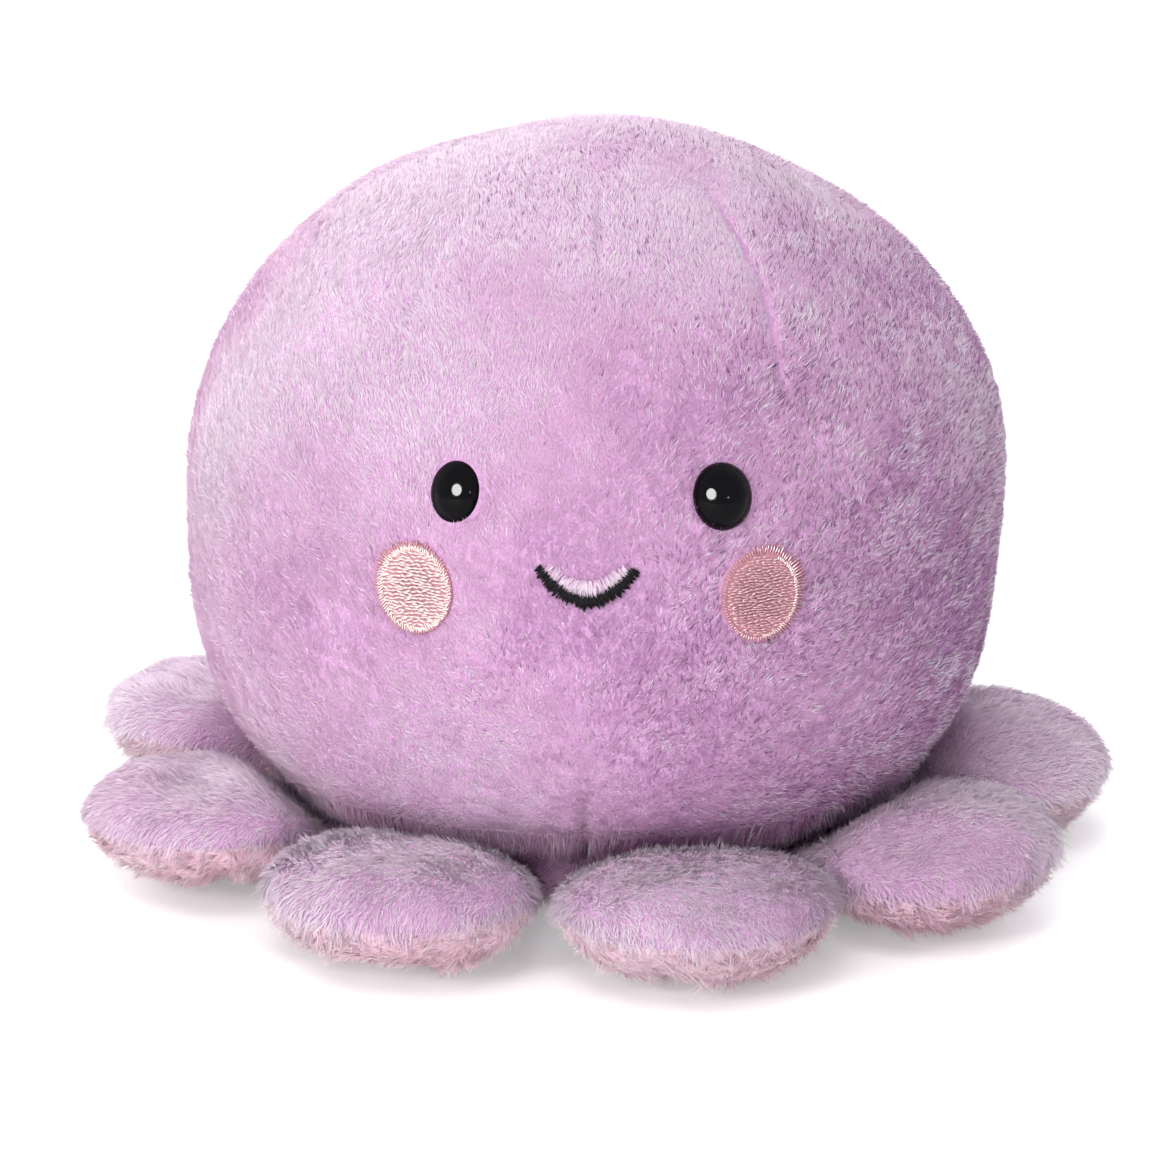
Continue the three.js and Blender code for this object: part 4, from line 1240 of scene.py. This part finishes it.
class OCTOPUS_OT_smile(bpy.types.Operator):
    """Stitches the smile in black satin across its curve"""

    bl_idname = "octopus.smile"
    bl_label = "Smile"

    def execute(self, context):
        s = settings()
        face, ink = s.face, np.array(s.colours.black)
        thread = thread_material("mouth_thread", 0.7 * ink, 1.5 * ink, 0.8, 0.0, 0.05)
        rng = np.random.default_rng((s.pile.seed, 5))
        bm = bmesh.new()
        for number in range(face.mouth_stitches):
            across = 2 * (number + 0.5) / face.mouth_stitches - 1
            height, slope = mouth_curve(across, face)
            height += rng.normal(0, 0.06) * face.mouth_stroke
            at = on_smile(across, height, face.mouth_sink)
            turn = Matrix.Rotation(math.pi / 2 + math.atan(slope) + rng.normal(0, 0.16), 4, "Z")
            narrow = 0.55 + 0.45 * math.sqrt(max(0, 1 - across**4))
            reach = face.mouth_stroke * narrow * rng.uniform(0.85, 1.35)
            stitch(bm, at @ turn, (reach, face.thread * 0.8, face.thread * 2.4))
        finish_piece("mouth_stitches", bm, thread, "head", ["mouth_stitching"])
        return {"FINISHED"}


# Fillings


def from_node(node):
    """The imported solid's shape, with its corners merged."""
    bm = bmesh.new()
    bm.from_mesh(frame["nodes"][node].data)
    bmesh.ops.remove_doubles(bm, verts=bm.verts, dist=1e-6)
    return bm


def lumpy(bm):
    """Fibre filling: the solid's shape, drawn in a little from the cloth and uneven."""
    bmesh.ops.triangulate(bm, faces=bm.faces)
    bmesh.ops.subdivide_edges(bm, edges=bm.edges, cuts=1, use_grid_fill=True)
    bm.normal_update()
    lumps = ripple(np.array([v.co for v in bm.verts]), 0.008, 51) * FILLING_LUMP - FILLING_GAP
    for vertex, lump in zip(bm.verts, lumps):
        vertex.co += vertex.normal * lump
    return bm


def pellets(filling, seed):
    """Loose pellets that fill the lens between the two halves of the pouch."""
    rng, radius = np.random.default_rng((seed, 99)), filling.pellet
    lowest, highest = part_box("bean_fill")
    bm = bmesh.new()
    for _ in range(filling.pellet_count):
        turn, out, up = rng.uniform(0, math.tau), math.sqrt(rng.random()), rng.random()
        reach = out * (highest.x - radius) * math.sqrt(1 - (2 * up - 1) ** 2 * 0.55)
        room = (highest.z - lowest.z - 2 * radius) * (1 - 0.35 * out**3)
        place = (reach * math.sin(turn), reach * math.cos(turn), lowest.z + radius + up * room)
        bmesh.ops.create_icosphere(bm, subdivisions=1, radius=radius, matrix=Matrix.Translation(place))
    return bm


class OCTOPUS_OT_fillings(bpy.types.Operator):
    """Makes the fibre fillings, the bean pouch and its pellets"""

    bl_idname = "octopus.fillings"
    bl_label = "Fillings"

    def execute(self, context):
        s = settings()
        white = s.colours.white
        fibre = plain_material("filling_fibre", white, 0.95, 700.0, 0.0006)
        cotton = plain_material("pouch_cotton", [0.95 * c for c in white], 0.9, 3000.0, 0.0001)
        plastic = plain_material("pellet_plastic", (0.8, 0.78, 0.74), 0.4, 1200.0, 0.00003)
        for body in frame["bodies"]:
            node = f"{body}_stuffing"
            bm = lumpy(from_node(node))
            piece = finish_piece(f"{body}_fill", bm, fibre, body, [node])
        for half, end in (("upper", "top"), ("lower", "bottom")):
            bm, nodes = from_node(f"bean_pouch_{end}"), [f"bean_pouch_{end}"]
            piece = finish_piece(f"bean_pouch_{half}", bm, cotton, "head", nodes)
        bm = pellets(s.filling, s.pile.seed)
        finish_piece("bean_pellets", bm, plastic, "head", ["bean_fill"])
        return {"FINISHED"}


# Studio


def lamp(name, azimuth, elevation, distance, size, power, tone, height=None):
    """A soft lamp that points at the head's middle: round, or an oval if it has a height."""
    light = bpy.data.lights.new(name, "AREA")
    light.shape, light.size, light.energy, light.color = "DISK", size, power, tone
    if height:
        light.shape, light.size_y = "ELLIPSE", height
    holder = bpy.data.objects.new(name, light)
    bpy.context.collection.objects.link(holder)
    away = Vector(direction(math.radians(azimuth), math.radians(elevation)))
    holder.location = Vector((0, 0, settings().head.widest)) + away * distance
    holder.rotation_euler = away.to_track_quat("Z", "Y").to_euler()
    return holder


def seen_directly(tree):
    """One for rays from the camera, a mirror or glass, and nothing for the rest."""
    path = add_node(tree, "LightPath").outputs
    seen = path["Is Camera Ray"]
    for extra in ("Is Glossy Ray", "Is Transmission Ray"):
        seen = add_node(tree, "Math", {0: seen, 1: path[extra]}, operation="MAXIMUM").outputs[0]
    return seen


def set_camera(studio, height):
    """Sets the camera at the photograph's viewing angle, aimed near the head's middle."""
    middle = Vector((0, 0, height))
    away = Vector(direction(studio.azimuth, studio.elevation))
    level = Vector((math.cos(studio.azimuth), math.sin(studio.azimuth), 0))
    place = middle + away * studio.distance
    target = middle - away.cross(level) * studio.aim_below - level * studio.aim_left
    data = bpy.data.cameras.new("camera")
    data.sensor_fit, data.angle, data.clip_start = "HORIZONTAL", studio.view_angle, 0.05
    camera = bpy.data.objects.new("camera", data)
    bpy.context.collection.objects.link(camera)
    aim = (target - place).to_track_quat("-Z", "Y").to_matrix().to_4x4()
    camera.matrix_world = Matrix.Translation(place) @ aim @ Matrix.Rotation(studio.roll, 4, "Z")
    bpy.context.scene.camera = camera


def lay_floor(studio, tone):
    """A plain pale floor that takes the shadow, and is brighter where it is seen directly."""
    bm = bmesh.new()
    bmesh.ops.create_grid(bm, x_segments=1, y_segments=1, size=studio.floor_size)
    mesh = bpy.data.meshes.new("floor")
    bm.to_mesh(mesh)
    bm.free()
    material, tree, shader = new_material("floor_paint", tone, 0.9, 0.0, 0.5, 0.2)
    stops = ((0.3, [0.985 * c for c in tone]), (0.7, tone))
    feed(tree, shader, {"Base Color": ramp(tree, noise(tree, 40, 3), stops)})
    shown = add_node(tree, "Math", {0: seen_directly(tree), 1: studio.floor_lift}, operation="MULTIPLY")
    lift = add_node(tree, "Emission", {"Strength": shown.outputs[0]})
    both = add_node(tree, "AddShader", {0: shader.outputs[0], 1: lift.outputs[0]})
    feed(tree, tree.nodes["Material Output"], {"Surface": both.outputs[0]})
    mesh.materials.append(material)
    floor = bpy.data.objects.new("floor", mesh)
    bpy.context.collection.objects.link(floor)


def light_world(strength):
    """Faint light from all round, from a background that is white where it is seen directly."""
    world = bpy.data.worlds.new("studio_air")
    bpy.context.scene.world = world
    world.use_nodes = True
    tree = world.node_tree
    tree.nodes.clear()
    lit = add_node(tree, "Background", {"Color": (1, 0.985, 1, 1), "Strength": strength})
    white = add_node(tree, "Background", {"Color": (*WHITE, 1)})
    both = add_node(tree, "MixShader", {0: seen_directly(tree), 1: lit.outputs[0], 2: white.outputs[0]})
    add_node(tree, "OutputWorld", {"Surface": both.outputs[0]})


class OCTOPUS_OT_studio(bpy.types.Operator):
    """Sets up the floor, the soft lamps and the camera"""

    bl_idname = "octopus.studio"
    bl_label = "Studio"

    def execute(self, context):
        s = settings()
        set_camera(s.studio, s.head.widest)
        lay_floor(s.studio, s.colours.floor)
        light_world(s.studio.world)
        for soft in LAMPS:
            lamp(*soft).visible_glossy = False
        lamp(*CATCHLIGHT).visible_diffuse = False
        lamp(*SPARK)
        return {"FINISHED"}


class OctopusSettings(bpy.types.PropertyGroup):
    """Every size and colour of the toy."""

    head: PointerProperty(type=OctopusHead)
    legs: PointerProperty(type=OctopusLegs)
    pile: PointerProperty(type=OctopusPile)
    face: PointerProperty(type=OctopusFace)
    filling: PointerProperty(type=OctopusFilling)
    colours: PointerProperty(type=OctopusColours)
    studio: PointerProperty(type=OctopusStudio)


OPERATORS = (
    OCTOPUS_OT_studio,
    OCTOPUS_OT_head_cover,
    OCTOPUS_OT_head_pile,
    OCTOPUS_OT_legs,
    OCTOPUS_OT_eyes,
    OCTOPUS_OT_cheeks,
    OCTOPUS_OT_smile,
    OCTOPUS_OT_fillings,
)
GROUPS = (
    OctopusHead,
    OctopusLegs,
    OctopusPile,
    OctopusFace,
    OctopusFilling,
    OctopusColours,
    OctopusStudio,
)


class OCTOPUS_PT_panel(bpy.types.Panel):
    """Lists the octopus's steps and sizes"""

    bl_idname = "OCTOPUS_PT_panel"
    bl_label = "Plush Octopus"
    bl_space_type = "VIEW_3D"
    bl_region_type = "UI"
    bl_category = "Octopus"

    def draw(self, context):
        for operator in OPERATORS:
            self.layout.operator(operator.bl_idname)
        for group in ("head", "legs", "pile", "face", "filling", "colours", "studio"):
            box = self.layout.box()
            box.label(text=group.title())
            values = getattr(context.scene.octopus, group)
            for key in values.bl_rna.properties.keys():
                if key not in ("rna_type", "name"):
                    box.prop(values, key)


CLASSES = (*GROUPS, OctopusSettings, *OPERATORS, OCTOPUS_PT_panel)


def register():
    for cls in CLASSES:
        bpy.utils.register_class(cls)
    bpy.types.Scene.octopus = PointerProperty(type=OctopusSettings)


def unregister():
    del bpy.types.Scene.octopus
    for cls in reversed(CLASSES):
        bpy.utils.unregister_class(cls)


def main():
    register()
    bpy.context.scene.view_settings.view_transform = "Standard"
    bpy.ops.octopus.studio()
    bpy.ops.octopus.head_cover()
    bpy.ops.octopus.head_pile()
    bpy.ops.octopus.legs()
    bpy.ops.octopus.eyes()
    bpy.ops.octopus.cheeks()
    bpy.ops.octopus.smile()
    bpy.ops.octopus.fillings()


if __name__ == "__main__":
    main()
